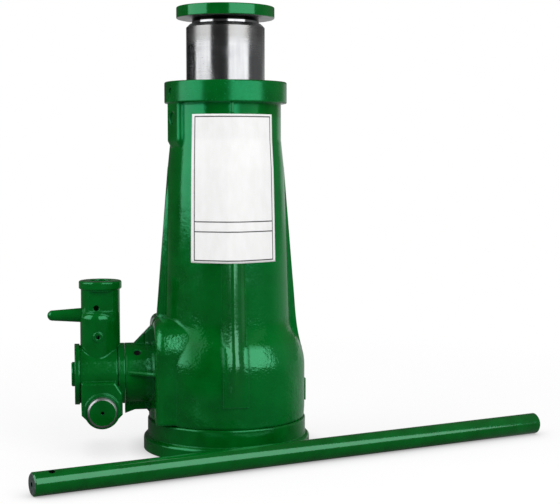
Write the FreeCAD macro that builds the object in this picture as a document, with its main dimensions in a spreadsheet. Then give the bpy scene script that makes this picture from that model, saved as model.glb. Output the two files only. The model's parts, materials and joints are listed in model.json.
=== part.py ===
"""Screw jack with a bevel gear drive and a reversible ratchet head.

Millimetres, Z up, origin at the centre of the foot. The pinion and the ratchet head lie on the -X side, and
the front rib faces -Y. The sleeve stands part way up, and the loose handle lies against the foot.
"""
import FreeCAD
import Part
import Sketcher
import math
import os
from FreeCAD import Placement, Rotation, Vector

SIZES = (
    # Fits
    ("fit_gap", "0.05"),
    ("seat_gap", "0.02"),
    ("free_gap", "0.4"),
    # Height of the sleeve in the modelled pose, and what is left of its lift
    ("lift_shown", "40.2"),
    ("lift_left", "109.8"),
    # Bevel gears
    ("gear_teeth", "30"),
    ("pinion_teeth", "12"),
    ("tooth_module", "3"),
    ("pressure_angle", "25"),
    ("gear_face_width", "14"),
    ("gear_rim", "5.5"),
    ("gear_hub_height", "12.5"),
    ("gear_hub_radius", "27"),
    ("tooth_backlash", "0.3"),
    ("root_clearance", "0.75"),
    ("tooth_root_overlap", "1"),
    ("gear_back_taper", "2.2"),
    ("gear_spigot", "6"),
    ("gear_pitch_radius", "=tooth_module * gear_teeth / 2"),
    ("pinion_pitch_radius", "=tooth_module * pinion_teeth / 2"),
    ("gear_cone_angle", "=atan(gear_teeth / pinion_teeth)"),
    ("dedendum", "=tooth_module + root_clearance"),
    ("cone_distance", "=sqrt(gear_pitch_radius ^ 2 + pinion_pitch_radius ^ 2)"),
    ("face_scale", "=(cone_distance - gear_face_width) / cone_distance"),
    ("gear_tip_radius", "=gear_pitch_radius + tooth_module * cos(gear_cone_angle)"),
    ("pinion_tip_radius", "=pinion_pitch_radius + tooth_module * sin(gear_cone_angle)"),
    ("gear_root_radius", "=gear_pitch_radius - dedendum * cos(gear_cone_angle)"),
    ("gear_root_depth", "=pinion_pitch_radius + dedendum * sin(gear_cone_angle)"),
    ("pinion_root_radius", "=pinion_pitch_radius - dedendum * sin(gear_cone_angle)"),
    ("pinion_root_reach", "=gear_pitch_radius + dedendum * cos(gear_cone_angle)"),
    ("gear_inner_root_radius", "=gear_root_radius * face_scale"),
    ("gear_inner_root_depth", "=gear_root_depth * face_scale"),
    ("pinion_inner_root_radius", "=pinion_root_radius * face_scale"),
    ("pinion_front", "=pinion_root_reach * face_scale"),
    # Thrust ball bearing
    ("base_floor", "9.6"),
    ("bearing_height", "19"),
    ("race_thickness", "6.6"),
    ("race_bore_radius", "20"),
    ("race_outer_radius", "34"),
    ("ball_radius", "4.75"),
    ("ball_circle_radius", "27"),
    ("ball_count", "12"),
    ("cage_thickness", "2"),
    ("cage_half_width", "6.5"),
    ("bearing_top", "=base_floor + bearing_height"),
    ("ball_height", "=base_floor + bearing_height / 2"),
    ("pinion_axis", "=bearing_top + gear_rim + gear_root_depth"),
    ("gear_hub_top", "=bearing_top + gear_hub_height"),
    # Main housing
    ("gear_room", "2.9"),
    ("chamber_wall", "8.5"),
    ("chamber_radius", "=gear_tip_radius + gear_room"),
    ("bulge_radius", "=chamber_radius + chamber_wall"),
    ("housing_height", "243.9"),
    ("collar_radius", "44.4"),
    ("collar_height", "15.4"),
    ("collar_rounding", "1"),
    ("neck_radius", "40.2"),
    ("neck_height", "26"),
    ("taper_top_radius", "42.3"),
    ("taper_foot_radius", "46.9"),
    ("throat_height", "20"),
    ("dome_radius", "40"),
    ("dome_start", "4.4"),
    ("dome_step", "5.5"),
    ("dome_end", "24.9"),
    ("shoulder_radius", "22"),
    ("shoulder_end", "37.4"),
    ("foot_taper", "8"),
    ("foot_rounding", "1.2"),
    ("foot_inset", "0.5"),
    # Base casting
    ("base_height", "22.5"),
    ("base_flange_height", "10"),
    ("base_flange_step", "3"),
    ("base_band_step", "1"),
    ("flange_rounding", "2.5"),
    ("spigot_height", "3.5"),
    ("spigot_wall", "4"),
    ("foot_radius", "=bulge_radius - foot_inset"),
    ("base_band_radius", "=foot_radius + base_band_step"),
    ("base_flange_radius", "=base_band_radius + base_flange_step"),
    ("housing_top", "=base_height + housing_height"),
    ("collar_foot", "=housing_top - collar_height"),
    ("neck_foot", "=collar_foot - neck_height"),
    ("taper_top", "=neck_foot - throat_height"),
    # Base screws
    ("base_screw_count", "4"),
    ("base_screw_radius", "3"),
    ("base_screw_head_radius", "5"),
    ("base_screw_head_height", "6"),
    ("base_screw_recess", "8"),
    ("base_screw_length", "28"),
    ("screw_slack", "0.3"),
    ("base_screw_circle", "=(chamber_radius + foot_radius) / 2"),
    # Pilot at the foot of the lifting screw
    ("pilot_radius", "15"),
    ("pilot_bush_wall", "2"),
    ("pilot_floor", "3"),
    ("pilot_post_height", "6"),
    ("pilot_end_gap", "1"),
    # Lifting sleeve, nut and screw
    ("sleeve_radius", "28.4"),
    ("sleeve_length", "217.8"),
    ("sleeve_room", "9"),
    ("sleeve_top_wall", "14"),
    ("sleeve_chamfer", "2.6"),
    ("nut_length", "45"),
    ("nut_wall", "4"),
    ("nut_lock_count", "3"),
    ("nut_lock_radius", "2"),
    ("nut_lock_length", "12"),
    ("screw_radius", "20"),
    ("screw_seat_radius", "16"),
    ("screw_room", "2"),
    ("screw_top_gap", "1.8"),
    ("screw_chamfer", "2"),
    ("nut_radius", "=screw_radius + nut_wall"),
    ("sleeve_bottom", "=gear_hub_top + sleeve_room + lift_shown"),
    ("sleeve_top", "=sleeve_bottom + sleeve_length"),
    ("sleeve_roof", "=sleeve_top - sleeve_top_wall"),
    ("screw_top", "=sleeve_roof - lift_shown - screw_top_gap"),
    # Keys of the drive
    ("gear_key_width", "8"),
    ("gear_key_height", "7"),
    ("gear_key_end", "1.5"),
    ("gear_key_half_width", "=gear_key_width / 2"),
    ("gear_key_half_height", "=gear_key_height / 2"),
    # Guide key and its boss
    ("key_azimuth", "69"),
    ("key_width", "10"),
    ("key_length", "22"),
    ("key_depth", "3"),
    ("key_back", "4"),
    ("key_floor_gap", "0.2"),
    ("keyway_spare", "1.5"),
    ("key_boss_face", "42.9"),
    ("key_boss_width", "21"),
    ("key_boss_drop", "10"),
    ("key_boss_slope", "5"),
    ("key_boss_edge", "3.5"),
    ("key_screw_radius", "2.5"),
    ("key_screw_head_radius", "4"),
    ("key_screw_head_height", "3"),
    ("key_screw_recess", "4"),
    ("key_screw_height", "11"),
    ("key_screw_bite", "4"),
    ("oil_screw_height", "8"),
    ("oil_screw_depth", "7"),
    ("oil_screw_inset", "1"),
    ("oil_way_radius", "1.2"),
    ("key_half_width", "=key_width / 2"),
    ("key_foot", "=collar_foot - key_length"),
    # Guide bore and wiper
    ("guide_length", "62"),
    ("bore_room", "7"),
    ("bore_slope", "7"),
    ("chamber_shoulder", "10"),
    ("chamber_roof", "26"),
    ("wiper_width", "4"),
    ("wiper_height", "6"),
    ("wiper_recess", "0.3"),
    ("shaft_room_radius", "=sleeve_radius + bore_room"),
    ("wiper_foot", "=housing_top - wiper_height - wiper_recess"),
    ("guide_foot", "=housing_top - guide_length"),
    # Ribs, webs and pads of the housing
    ("rib_count", "4"),
    ("rib_width", "16.8"),
    ("rib_foot_rise", "4.2"),
    ("rib_shoulder_rise", "1.6"),
    ("rib_edge", "5"),
    ("rib_core", "6"),
    ("rib_foot_lift", "12"),
    ("rib_foot_inset", "1.6"),
    ("strip_width", "18"),
    ("strip_rise", "0.8"),
    ("strip_foot", "16"),
    ("side_pad_width", "12"),
    ("side_pad_foot", "10.5"),
    ("side_pad_height", "16"),
    ("side_pad_rise", "0.8"),
    ("rib_half_width", "=rib_width / 2"),
    ("side_pad_half_width", "=side_pad_width / 2"),
    ("dome_foot", "=pinion_axis + dome_start"),
    ("dome_top", "=pinion_axis + dome_end"),
    ("shoulder_top", "=pinion_axis + shoulder_end"),
    ("dome_top_radius", "=bulge_radius - dome_step"),
    # Gear chamber box and pinion boss
    ("box_wall", "5.5"),
    ("box_half_width", "41"),
    ("box_shoulder", "18.4"),
    ("box_top_half_width", "18"),
    ("box_foot", "1.5"),
    ("box_edge", "6"),
    ("boss_length", "20.1"),
    ("boss_wall", "6"),
    ("web_thickness", "7"),
    ("web_root", "6"),
    ("web_boss_margin", "7"),
    ("side_web_thickness", "2.5"),
    ("side_web_margin", "2"),
    ("side_web_lift", "3.5"),
    ("web_drop", "4.5"),
    ("web_tip_drop", "7"),
    ("box_reach", "=chamber_radius + box_wall"),
    ("box_shoulder_radius", "=box_half_width - box_top_half_width"),
    ("box_top", "=box_shoulder + box_shoulder_radius"),
    # Pinion shaft and its bush
    ("shaft_radius", "12.5"),
    ("bush_wall", "3.5"),
    ("bush_flange_width", "4"),
    ("bush_flange", "2.8"),
    ("bush_end_inset", "0.4"),
    ("pinion_hub", "0.6"),
    ("thrust_gap", "0.2"),
    ("pinion_room", "2.2"),
    ("lock_screw_radius", "2.5"),
    ("lock_screw_angle", "50"),
    ("lock_screw_bite", "1.5"),
    ("lock_screw_inset", "1"),
    ("lock_screw_reach", "8.5"),
    ("bush_radius", "=shaft_radius + bush_wall"),
    ("boss_radius", "=bush_radius + boss_wall"),
    ("boss_end", "=box_reach + boss_length"),
    ("pinion_back", "=pinion_root_reach + pinion_hub"),
    ("bush_front", "=pinion_back + thrust_gap"),
    ("bush_seat", "=bush_front + bush_flange"),
    # Ratchet head along the pinion axis
    ("head_wall", "5"),
    ("head_journal_radius", "11"),
    ("head_flange_radius", "22"),
    ("head_flange", "4.5"),
    ("head_groove", "1"),
    ("head_groove_radius", "20"),
    ("barrel_radius", "21"),
    ("barrel_bore_radius", "18"),
    ("barrel_length", "27"),
    ("cover_thickness", "3.7"),
    ("cover_edge", "0.5"),
    ("shaft_end_radius", "8.85"),
    ("shaft_end_reach", "2.3"),
    ("shaft_end_chamfer", "0.8"),
    ("head_middle_offset", "11.7"),
    ("head_start", "=boss_end + free_gap"),
    ("barrel_start", "=head_start + head_wall"),
    ("barrel_end", "=barrel_start + barrel_length"),
    ("cover_end", "=barrel_end + cover_thickness"),
    ("shaft_end", "=cover_end + shaft_end_reach"),
    ("head_middle", "=barrel_start + head_middle_offset"),
    # Cover screws
    ("cover_screw_count", "3"),
    ("cover_screw_radius", "1.2"),
    ("cover_screw_head_radius", "1.9"),
    ("cover_screw_head_height", "1.4"),
    ("cover_screw_length", "8"),
    ("cover_screw_circle", "=(barrel_radius + barrel_bore_radius) / 2"),
    # Ratchet wheel
    ("wheel_teeth", "12"),
    ("wheel_tip_radius", "16.5"),
    ("wheel_root_radius", "13.2"),
    ("wheel_tip_half_width", "1.5"),
    ("wheel_root_half_width", "1.85"),
    ("wheel_length", "23"),
    ("wheel_gap", "1"),
    ("wheel_bore_radius", "10"),
    ("wheel_key_width", "5"),
    ("wheel_key_height", "4.4"),
    ("wheel_key_end", "2"),
    ("ring_thickness", "1.2"),
    ("ring_rise", "2.5"),
    ("ring_depth", "1"),
    ("ring_lip", "0.8"),
    ("wheel_start", "=barrel_start + wheel_gap"),
    ("wheel_end", "=wheel_start + wheel_length"),
    ("ring_end", "=wheel_end + ring_thickness"),
    ("wheel_key_half_width", "=wheel_key_width / 2"),
    ("wheel_key_half_height", "=wheel_key_height / 2"),
    # Handle socket of the head
    ("tube_radius", "14"),
    ("tube_height", "68"),
    ("lip_radius", "15.4"),
    ("lip_height", "6"),
    ("lip_rounding", "1.2"),
    ("socket_floor", "36.5"),
    ("facet_depth", "11.1"),
    ("facet_foot", "47"),
    ("facet_top", "61"),
    ("facet_cut", "6"),
    ("lock_hole_radius", "2"),
    ("lock_hole_height", "49.1"),
    ("lock_hole_shift", "3.2"),
    ("pocket_boss_radius", "12.5"),
    ("pocket_boss_shift", "2.2"),
    ("pocket_boss_forward", "3.7"),
    ("pocket_boss_height", "46"),
    ("pocket_boss_rounding", "5"),
    ("oil_ring_radius", "3.5"),
    ("oil_ring_rise", "0.6"),
    ("oil_hole_radius", "1.5"),
    ("oil_hole_depth", "8"),
    ("oil_hole_height", "28.7"),
    # Crank peg
    ("peg_height", "43"),
    ("peg_root_radius", "5.25"),
    ("peg_tip_radius", "3.75"),
    ("peg_length", "25.5"),
    ("peg_stem_radius", "3"),
    ("peg_stem_length", "3"),
    ("peg_seat", "12.5"),
    # Pawl block, pawl and shift pin below the pinion axis
    ("block_half_width", "14.5"),
    ("block_half_depth", "27"),
    ("block_top", "2.4"),
    ("block_edge", "2"),
    ("block_foot_radius", "12.6"),
    ("block_corner_width", "5"),
    ("block_corner_height", "8"),
    ("pin_ring_rise", "2.5"),
    ("pin_radius", "10.5"),
    ("pin_drop", "22.5"),
    ("pin_rise", "8"),
    ("pin_chamfer", "1.2"),
    ("pin_mark_radius", "1"),
    ("pin_mark_depth", "1.5"),
    ("pin_floor", "4"),
    ("pin_notch_half_length", "18.5"),
    ("pin_slot_half_width", "2.4"),
    ("pin_slot_floor", "7.2"),
    ("pawl_drop", "21.5"),
    ("pawl_width", "12"),
    ("pawl_hub_radius", "4.3"),
    ("pawl_pivot_radius", "2.5"),
    ("pawl_rock", "12"),
    ("pawl_tooth_reach", "14.7"),
    ("pawl_tooth_half_width", "1.2"),
    ("pawl_tooth_root_half_width", "2"),
    ("pawl_arm_gap", "0.6"),
    ("pawl_arm_thickness", "3"),
    ("pawl_tail_length", "7.8"),
    ("pawl_tail_half_width", "1.8"),
    ("pawl_pocket_half_width", "17.4"),
    ("pawl_pocket_top", "6"),
    ("pivot_pin_end", "2"),
    ("shift_travel", "1.4"),
    ("stop_screw_place", "23"),
    ("stop_screw_radius", "2.5"),
    ("stop_screw_dog_radius", "1.5"),
    ("stop_slot_depth", "2"),
    ("stop_screw_inset", "1"),
    ("block_depth", "=2 * block_half_depth"),
    ("block_foot_corner", "=block_foot_radius / sqrt(2)"),
    ("block_side_drop", "=2 * block_foot_corner - block_half_width"),
    ("pin_ring_depth", "=2 * (block_half_depth + pin_ring_rise)"),
    ("pin_length", "=2 * (block_half_depth + pin_rise)"),
    ("pin_notch_length", "=2 * pin_notch_half_length"),
    ("pin_slot_width", "=2 * pin_slot_half_width"),
    ("pawl_pocket_width", "=pawl_width + 2 * free_gap"),
    # Load cap
    ("cap_radius", "35.5"),
    ("cap_thickness", "8.2"),
    ("cap_edge", "0.8"),
    ("cap_neck_radius", "24.2"),
    ("cap_neck_height", "3.9"),
    ("cap_groove_radius", "18"),
    ("cap_groove_pitch", "8"),
    ("cap_groove_width", "2"),
    ("cap_groove_depth", "1.2"),
    ("cap_screw_radius", "6"),
    ("cap_screw_shoulder_radius", "7"),
    ("cap_screw_head_radius", "12"),
    ("cap_screw_head_height", "5"),
    ("cap_screw_inset", "1.6"),
    ("cap_screw_length", "12"),
    ("cap_foot", "=sleeve_top + cap_neck_height"),
    ("cap_top", "=cap_foot + cap_thickness"),
    # Loose handle
    ("handle_radius", "7.75"),
    ("handle_length", "400"),
    ("handle_socket_gap", "0.3"),
    ("handle_gap", "7"),
    ("handle_hole_tilt", "75"),
    ("handle_yaw", "19.2"),
    ("handle_shift", "27.2"),
    ("handle_end_chamfer", "1"),
    ("handle_hole_radius", "2.1"),
    ("handle_hole_place", "12.5"),
    ("handle_centre_hole_radius", "1.6"),
    ("handle_centre_hole_depth", "4"),
    ("handle_half_length", "=handle_length / 2"),
    ("handle_distance", "=base_flange_radius + handle_radius + handle_gap"),
    ("handle_place_x", "=handle_distance * sin(handle_yaw) + handle_shift * cos(handle_yaw)"),
    ("handle_place_y", "=handle_shift * sin(handle_yaw) - handle_distance * cos(handle_yaw)"),
)

DOC = FreeCAD.newDocument("ScrewJack")
SHEET = DOC.addObject("Spreadsheet::Sheet", "Sizes")
ORIGIN = Vector(0, 0, 0)


def fill_sheet():
    """One row per size, with the size's name as the alias of its cell."""
    for row, (name, text) in enumerate(SIZES, start=1):
        cell = "B%d" % row
        SHEET.set("A%d" % row, name)
        SHEET.set(cell, text)
        SHEET.setAlias(cell, name)
    DOC.recompute()


def size(name):
    """A size of the sheet, in millimetres, degrees or pieces."""
    value = SHEET.get(name)
    return float(getattr(value, "Value", value))


def words(expression):
    """The names and signs of a sum such as 'base_height + spigot_height'."""
    return str(expression).split()


def number(expression):
    """The value of a sum of sizes."""
    total = 0.0
    sign = 1.0
    for word in words(expression):
        if word in ("+", "-"):
            sign = 1.0 if word == "+" else -1.0
        elif word == "0":
            total += 0.0
        else:
            total += sign * size(word)
    return total


def formula(expression):
    """The same sum, as the sheet's own formula."""
    terms = [word if word in ("+", "-", "0") else "Sizes." + word for word in words(expression)]
    return " ".join(terms)


def tie(thing, place, expression):
    """Binds a property to a sum of sizes."""
    thing.setExpression(place, formula(expression))


def piece(label, height=None):
    """An empty body, raised by a size where its own origin isn't the foot's."""
    body = DOC.addObject("PartDesign::Body", label)
    body.Label = label
    if height:
        tie(body, "Placement.Base.z", height)
    return body


def origin_part(body, role):
    """A plane or axis of the body's own origin."""
    return [part for part in body.Origin.OriginFeatures if part.Role == role][0]


def drawing(body, plane, offset=None, turn=None, aside=None):
    """A sketch on an origin plane, turned in place, moved along the plane's normal, and moved aside along X."""
    sketch = body.newObject("Sketcher::SketchObject", body.Name + "_sketch")
    sketch.AttachmentSupport = [(origin_part(body, plane), "")]
    sketch.MapMode = "FlatFace"
    if turn is not None:
        sketch.AttachmentOffset = Placement(ORIGIN, turn)
    if offset:
        tie(sketch, "AttachmentOffset.Base.z", offset)
    if aside:
        tie(sketch, "AttachmentOffset.Base.x", aside)
    return sketch


def fix(sketch, kind, line, spot, expression):
    """Holds a point's coordinate, or a radius, at a sum of sizes."""
    if kind == "Radius":
        index = sketch.addConstraint(Sketcher.Constraint(kind, line, number(expression)))
    else:
        index = sketch.addConstraint(Sketcher.Constraint(kind, line, spot, number(expression)))
    if expression != "0":
        tie(sketch, "Constraints[%d]" % index, expression)


def arc_between(start, end, radius):
    """The shorter arc from start to end. A positive radius turns left, a negative one right."""
    half = (end - start) * 0.5
    rise = math.sqrt(max(radius * radius - half.Length * half.Length, 0))
    left = Vector(-half.y, half.x, 0).normalize()
    centre = start + half + left * math.copysign(rise, radius)
    first, last = (start, end) if radius > 0 else (end, start)
    angles = [math.atan2(point.y - centre.y, point.x - centre.x) for point in (first, last)]
    circle = Part.Circle(centre, Vector(0, 0, 1), abs(radius))
    return Part.ArcOfCircle(circle, angles[0], angles[1])


def outline(sketch, corners):
    """A closed outline. A corner with a third sum starts an arc of that radius instead of a straight line."""
    spots = [Vector(number(corner[0]), number(corner[1]), 0) for corner in corners]
    ends = []
    for start, end, corner in zip(spots, spots[1:] + spots[:1], corners):
        if len(corner) == 2:
            line = sketch.addGeometry(Part.LineSegment(start, end))
            ends.append((line, 1, 2))
        else:
            radius = number(corner[2])
            line = sketch.addGeometry(arc_between(start, end, radius))
            ends.append((line, 1, 2) if radius > 0 else (line, 2, 1))
    for (line, _, last), (following, first, _) in zip(ends, ends[1:] + ends[:1]):
        sketch.addConstraint(Sketcher.Constraint("Coincident", line, last, following, first))
    for (line, first, _), corner in zip(ends, corners):
        fix(sketch, "DistanceX", line, first, corner[0])
        fix(sketch, "DistanceY", line, first, corner[1])
        if len(corner) == 3:
            fix(sketch, "Radius", line, 0, corner[2].lstrip("- "))


def computed_outline(sketch, spots):
    """A closed outline through points worked out from the sizes."""
    points = [Vector(x, y, 0) for x, y in spots]
    lines = [sketch.addGeometry(Part.LineSegment(a, b)) for a, b in zip(points, points[1:] + points[:1])]
    for line, following in zip(lines, lines[1:] + lines[:1]):
        sketch.addConstraint(Sketcher.Constraint("Coincident", line, 2, following, 1))
    for line in lines:
        sketch.addConstraint(Sketcher.Constraint("Block", line))


def box_outline(sketch, left, right, low, high):
    """A rectangle between four sums of sizes."""
    outline(sketch, [(left, low), (right, low), (right, high), (left, high)])


def circle(sketch, across, along, radius):
    """A circle with its centre and radius held by sizes."""
    centre = Vector(number(across), number(along), 0)
    line = sketch.addGeometry(Part.Circle(centre, Vector(0, 0, 1), number(radius)))
    fix(sketch, "DistanceX", line, 3, across)
    fix(sketch, "DistanceY", line, 3, along)
    fix(sketch, "Radius", line, 0, radius)


def finish(body, feature, before=None):
    """Makes the feature the body's last one, and checks that a cut took something away."""
    body.Tip = feature
    DOC.recompute()
    if "Invalid" in feature.State:
        raise ValueError("%s of %s failed: %s" % (feature.Name, body.Label, feature.getStatusString()))
    if before is not None and not feature.Shape.Volume < before - 1e-6:
        raise ValueError("a cut of %s takes nothing away" % body.Label)
    return feature


def revolve(body, sketch, about="V_Axis"):
    """Adds the sketch turned once round one of its own axes."""
    feature = body.newObject("PartDesign::Revolution", body.Name + "_turned")
    feature.Profile = sketch
    feature.ReferenceAxis = (sketch, [about])
    feature.Angle = 360
    return finish(body, feature)


def groove(body, sketch, about="V_Axis"):
    """Takes away the sketch turned once round one of its own axes."""
    before = body.Shape.Volume
    feature = body.newObject("PartDesign::Groove", body.Name + "_groove")
    feature.Profile = sketch
    feature.ReferenceAxis = (sketch, [about])
    feature.Angle = 360
    return finish(body, feature, before)


def pad(body, sketch, length, both_ways=False, backwards=False):
    """Adds the sketch drawn out along its normal, against it, or half each way."""
    feature = body.newObject("PartDesign::Pad", body.Name + "_pad")
    feature.Profile = sketch
    feature.Midplane = both_ways
    feature.Reversed = backwards
    tie(feature, "Length", length)
    return finish(body, feature)


def pocket(body, sketch, length, both_ways=False, backwards=False):
    """Takes away the sketch drawn out against its normal, along it when backwards, or half each way."""
    before = body.Shape.Volume
    feature = body.newObject("PartDesign::Pocket", body.Name + "_pocket")
    feature.Profile = sketch
    feature.Midplane = both_ways
    feature.Reversed = backwards
    tie(feature, "Length", length)
    return finish(body, feature, before)


def ring_of(body, feature, count, about="Z_Axis"):
    """Repeats a feature evenly round an axis of the body."""
    pattern = body.newObject("PartDesign::PolarPattern", body.Name + "_ring")
    pattern.Originals = [feature]
    pattern.Axis = (origin_part(body, about), [""])
    pattern.Angle = 360
    tie(pattern, "Occurrences", count)
    return finish(body, pattern)


def soften(body, kind, length, wanted):
    """Rounds or bevels the edges that the test picks out."""
    base = body.Tip
    names = ["Edge%d" % (i + 1) for i, edge in enumerate(base.Shape.Edges) if wanted(edge)]
    if not names:
        raise ValueError("no edge of %s to soften" % body.Label)
    feature = body.newObject("PartDesign::" + kind, body.Name + "_" + kind.lower())
    feature.Base = (base, names)
    tie(feature, "Radius" if kind == "Fillet" else "Size", length)
    return finish(body, feature)


def near(a, b):
    """Whether two lengths are the same to a hundredth."""
    return abs(a - b) < 0.01


def circle_at(radius, place, letter="z"):
    """A test for round edges of this radius whose centre lies at this place along an axis."""
    def test(edge):
        curve = edge.Curve
        return (isinstance(curve, Part.Circle) and near(curve.Radius, number(radius))
                and near(getattr(curve.Center, letter), number(place)))
    return test


def turned(label, corners, about="V_Axis", height=None):
    """A plain turned piece: an outline in the XZ plane, turned round Z or, by its H axis, round X."""
    body = piece(label, height)
    sketch = drawing(body, "XZ_Plane")
    outline(sketch, corners)
    revolve(body, sketch, about)
    return body


def tube_corners(inner, outer, low, high):
    """The section of a plain ring."""
    return [(inner, low), (outer, low), (outer, high), (inner, high)]


def base_plate():
    """Foot casting: flange, band, spigot for the housing, seat for the bearing and post for the pilot bush."""
    body = turned("base_plate", [
        ("0", "0"),
        ("base_flange_radius", "0"),
        ("base_flange_radius", "base_flange_height"),
        ("base_band_radius", "base_flange_height"),
        ("base_band_radius", "base_height"),
        ("chamber_radius - fit_gap", "base_height"),
        ("chamber_radius - fit_gap", "base_height + spigot_height"),
        ("chamber_radius - spigot_wall", "base_height + spigot_height"),
        ("chamber_radius - spigot_wall", "base_height"),
        ("race_outer_radius + seat_gap", "base_height"),
        ("race_outer_radius + seat_gap", "base_floor"),
        ("race_bore_radius - seat_gap", "base_floor"),
        ("race_bore_radius - seat_gap", "base_floor + pilot_post_height"),
        ("pilot_radius + pilot_bush_wall + seat_gap", "base_floor + pilot_post_height"),
        ("pilot_radius + pilot_bush_wall + seat_gap", "pilot_floor"),
        ("0", "pilot_floor"),
    ])
    soften(body, "Fillet", "flange_rounding", circle_at("base_flange_radius", "base_flange_height"))
    soften(body, "Fillet", "foot_rounding", circle_at("base_band_radius", "base_height"))
    for radius, depth in (("base_screw_head_radius + screw_slack", "base_screw_recess"),
                          ("base_screw_radius + screw_slack", "base_height")):
        sketch = drawing(body, "XY_Plane", turn=rib_gap_turn())
        circle(sketch, "base_screw_circle", "0", radius)
        hole = pocket(body, sketch, depth, backwards=True)
        ring_of(body, hole, "base_screw_count")
    return body


def rib_gap_turn():
    """Half the angle between two ribs, where the base screws stand."""
    return Rotation(Vector(0, 0, 1), 180 / size("rib_count"))


def base_screws():
    """Cap screws that hold the base to the housing from below."""
    body = piece("base_screws")
    seat = "base_screw_recess"
    for radius, foot, length in (
            ("base_screw_head_radius", seat + " - base_screw_head_height", "base_screw_head_height"),
            ("base_screw_radius", seat, "base_screw_length")):
        sketch = drawing(body, "XY_Plane", foot, rib_gap_turn())
        circle(sketch, "base_screw_circle", "0", radius)
        shank = pad(body, sketch, length)
        ring_of(body, shank, "base_screw_count")
    return body


def bearing_race(label, low, high):
    """One washer of the thrust bearing, with its ball track."""
    body = turned(label, tube_corners("race_bore_radius", "race_outer_radius", low, high))
    sketch = drawing(body, "XZ_Plane")
    circle(sketch, "ball_circle_radius", "ball_height", "ball_radius + fit_gap")
    groove(body, sketch)
    return body


def bearing_lower_race():
    return bearing_race("bearing_lower_race", "base_floor", "base_floor + race_thickness")


def bearing_upper_race():
    return bearing_race("bearing_upper_race", "bearing_top - race_thickness", "bearing_top")


def bearing_balls():
    """The balls, in a ring."""
    body = piece("bearing_balls")
    ball = body.newObject("PartDesign::AdditiveSphere", "ball")
    ball.AttachmentSupport = [(origin_part(body, "XY_Plane"), "")]
    ball.MapMode = "FlatFace"
    tie(ball, "Radius", "ball_radius")
    tie(ball, "AttachmentOffset.Base.x", "ball_circle_radius")
    tie(ball, "AttachmentOffset.Base.z", "ball_height")
    finish(body, ball)
    ring_of(body, ball, "ball_count")
    return body


def ball_cage():
    """A flat ring with a window round each ball."""
    body = piece("ball_cage")
    sketch = drawing(body, "XY_Plane", "ball_height")
    circle(sketch, "0", "0", "ball_circle_radius + cage_half_width")
    circle(sketch, "0", "0", "ball_circle_radius - cage_half_width")
    pad(body, sketch, "cage_thickness", both_ways=True)
    window = drawing(body, "XY_Plane", "ball_height")
    circle(window, "ball_circle_radius", "0", "ball_radius + fit_gap")
    ring_of(body, pocket(body, window, "cage_thickness", both_ways=True), "ball_count")
    return body


def pilot_bush():
    """Bronze bush that centres the foot of the lifting screw."""
    return turned("pilot_bush", tube_corners(
        "pilot_radius + fit_gap", "pilot_radius + pilot_bush_wall",
        "pilot_floor", "base_floor + pilot_post_height"))


def key_turn():
    """Turns the front of a sketch to the guide key's side."""
    return Rotation(Vector(0, 0, 1), -size("key_azimuth"))


def lock_turn():
    """Tilts the front of a sketch up to the bush lock screw."""
    return Rotation(Vector(1, 0, 0), -size("lock_screw_angle"))


def main_housing():
    """Ribbed casting: gear chamber, domed shoulder, tapered column, neck and collar, with the guide bore."""
    body = piece("main_housing")
    add_key_boss(body)
    add_gear_box(body)
    column = drawing(body, "XZ_Plane")
    outline(column, [
        ("0", "base_height"),
        ("foot_radius", "base_height"),
        ("bulge_radius", "base_height + foot_taper"),
        ("bulge_radius", "dome_foot", "dome_radius"),
        ("dome_top_radius", "dome_top", "- shoulder_radius"),
        ("taper_foot_radius", "shoulder_top"),
        ("taper_top_radius", "taper_top"),
        ("neck_radius", "neck_foot"),
        ("neck_radius", "collar_foot"),
        ("collar_radius", "collar_foot"),
        ("collar_radius", "housing_top"),
        ("0", "housing_top"),
    ])
    revolve(body, column)
    soften(body, "Fillet", "foot_rounding", circle_at("foot_radius", "base_height"))
    soften(body, "Fillet", "collar_rounding", circle_at("collar_radius", "collar_foot"))
    soften(body, "Fillet", "collar_rounding", circle_at("collar_radius", "housing_top"))
    add_webs(body)
    add_pads(body)
    add_ribs(body)
    cut_chamber(body)
    cut_housing_holes(body)
    return body


def add_ribs(body):
    """Round-edged ribs down the column that follow its shoulder."""
    path = body.newObject("Sketcher::SketchObject", body.Name + "_rib_path")
    path.AttachmentSupport = [(origin_part(body, "YZ_Plane"), "")]
    path.MapMode = "FlatFace"
    line = Part.BSplineCurve()
    line.interpolate([Vector(-radius, height, 0) for radius, height in rib_line()])
    path.addConstraint(Sketcher.Constraint("Block", path.addGeometry(line)))
    section = drawing(body, "XY_Plane", "taper_top")
    outline(section, [
        ("- rib_half_width", "- taper_top_radius + rib_edge", "rib_edge"),
        ("- rib_half_width + rib_edge", "- taper_top_radius"),
        ("rib_half_width - rib_edge", "- taper_top_radius", "rib_edge"),
        ("rib_half_width", "- taper_top_radius + rib_edge"),
        ("rib_half_width", "- taper_top_radius + rib_core"),
        ("- rib_half_width", "- taper_top_radius + rib_core"),
    ])
    rib = body.newObject("PartDesign::AdditivePipe", body.Name + "_rib")
    rib.Profile = section
    rib.Spine = (path, [])
    rib.Mode = "Fixed"
    ring_of(body, finish(body, rib), "rib_count")


def rib_line():
    """Radius and height along a rib's outer line: straight down the column, then over the shoulder."""
    top = Vector(size("taper_top_radius"), size("taper_top"), 0)
    foot = Vector(number("taper_foot_radius + rib_foot_rise"), number("shoulder_top + rib_foot_rise"), 0)
    spots = [top + (foot - top) * part for part in (0.0, 0.35, 0.7, 0.9, 1.0)]
    shoulder = (number("dome_top_radius + rib_shoulder_rise"), size("dome_top"))
    end = (number("bulge_radius - rib_foot_inset"), number("dome_foot + rib_foot_lift"))
    return [(spot.x, spot.y) for spot in spots] + [shoulder, end]


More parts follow.
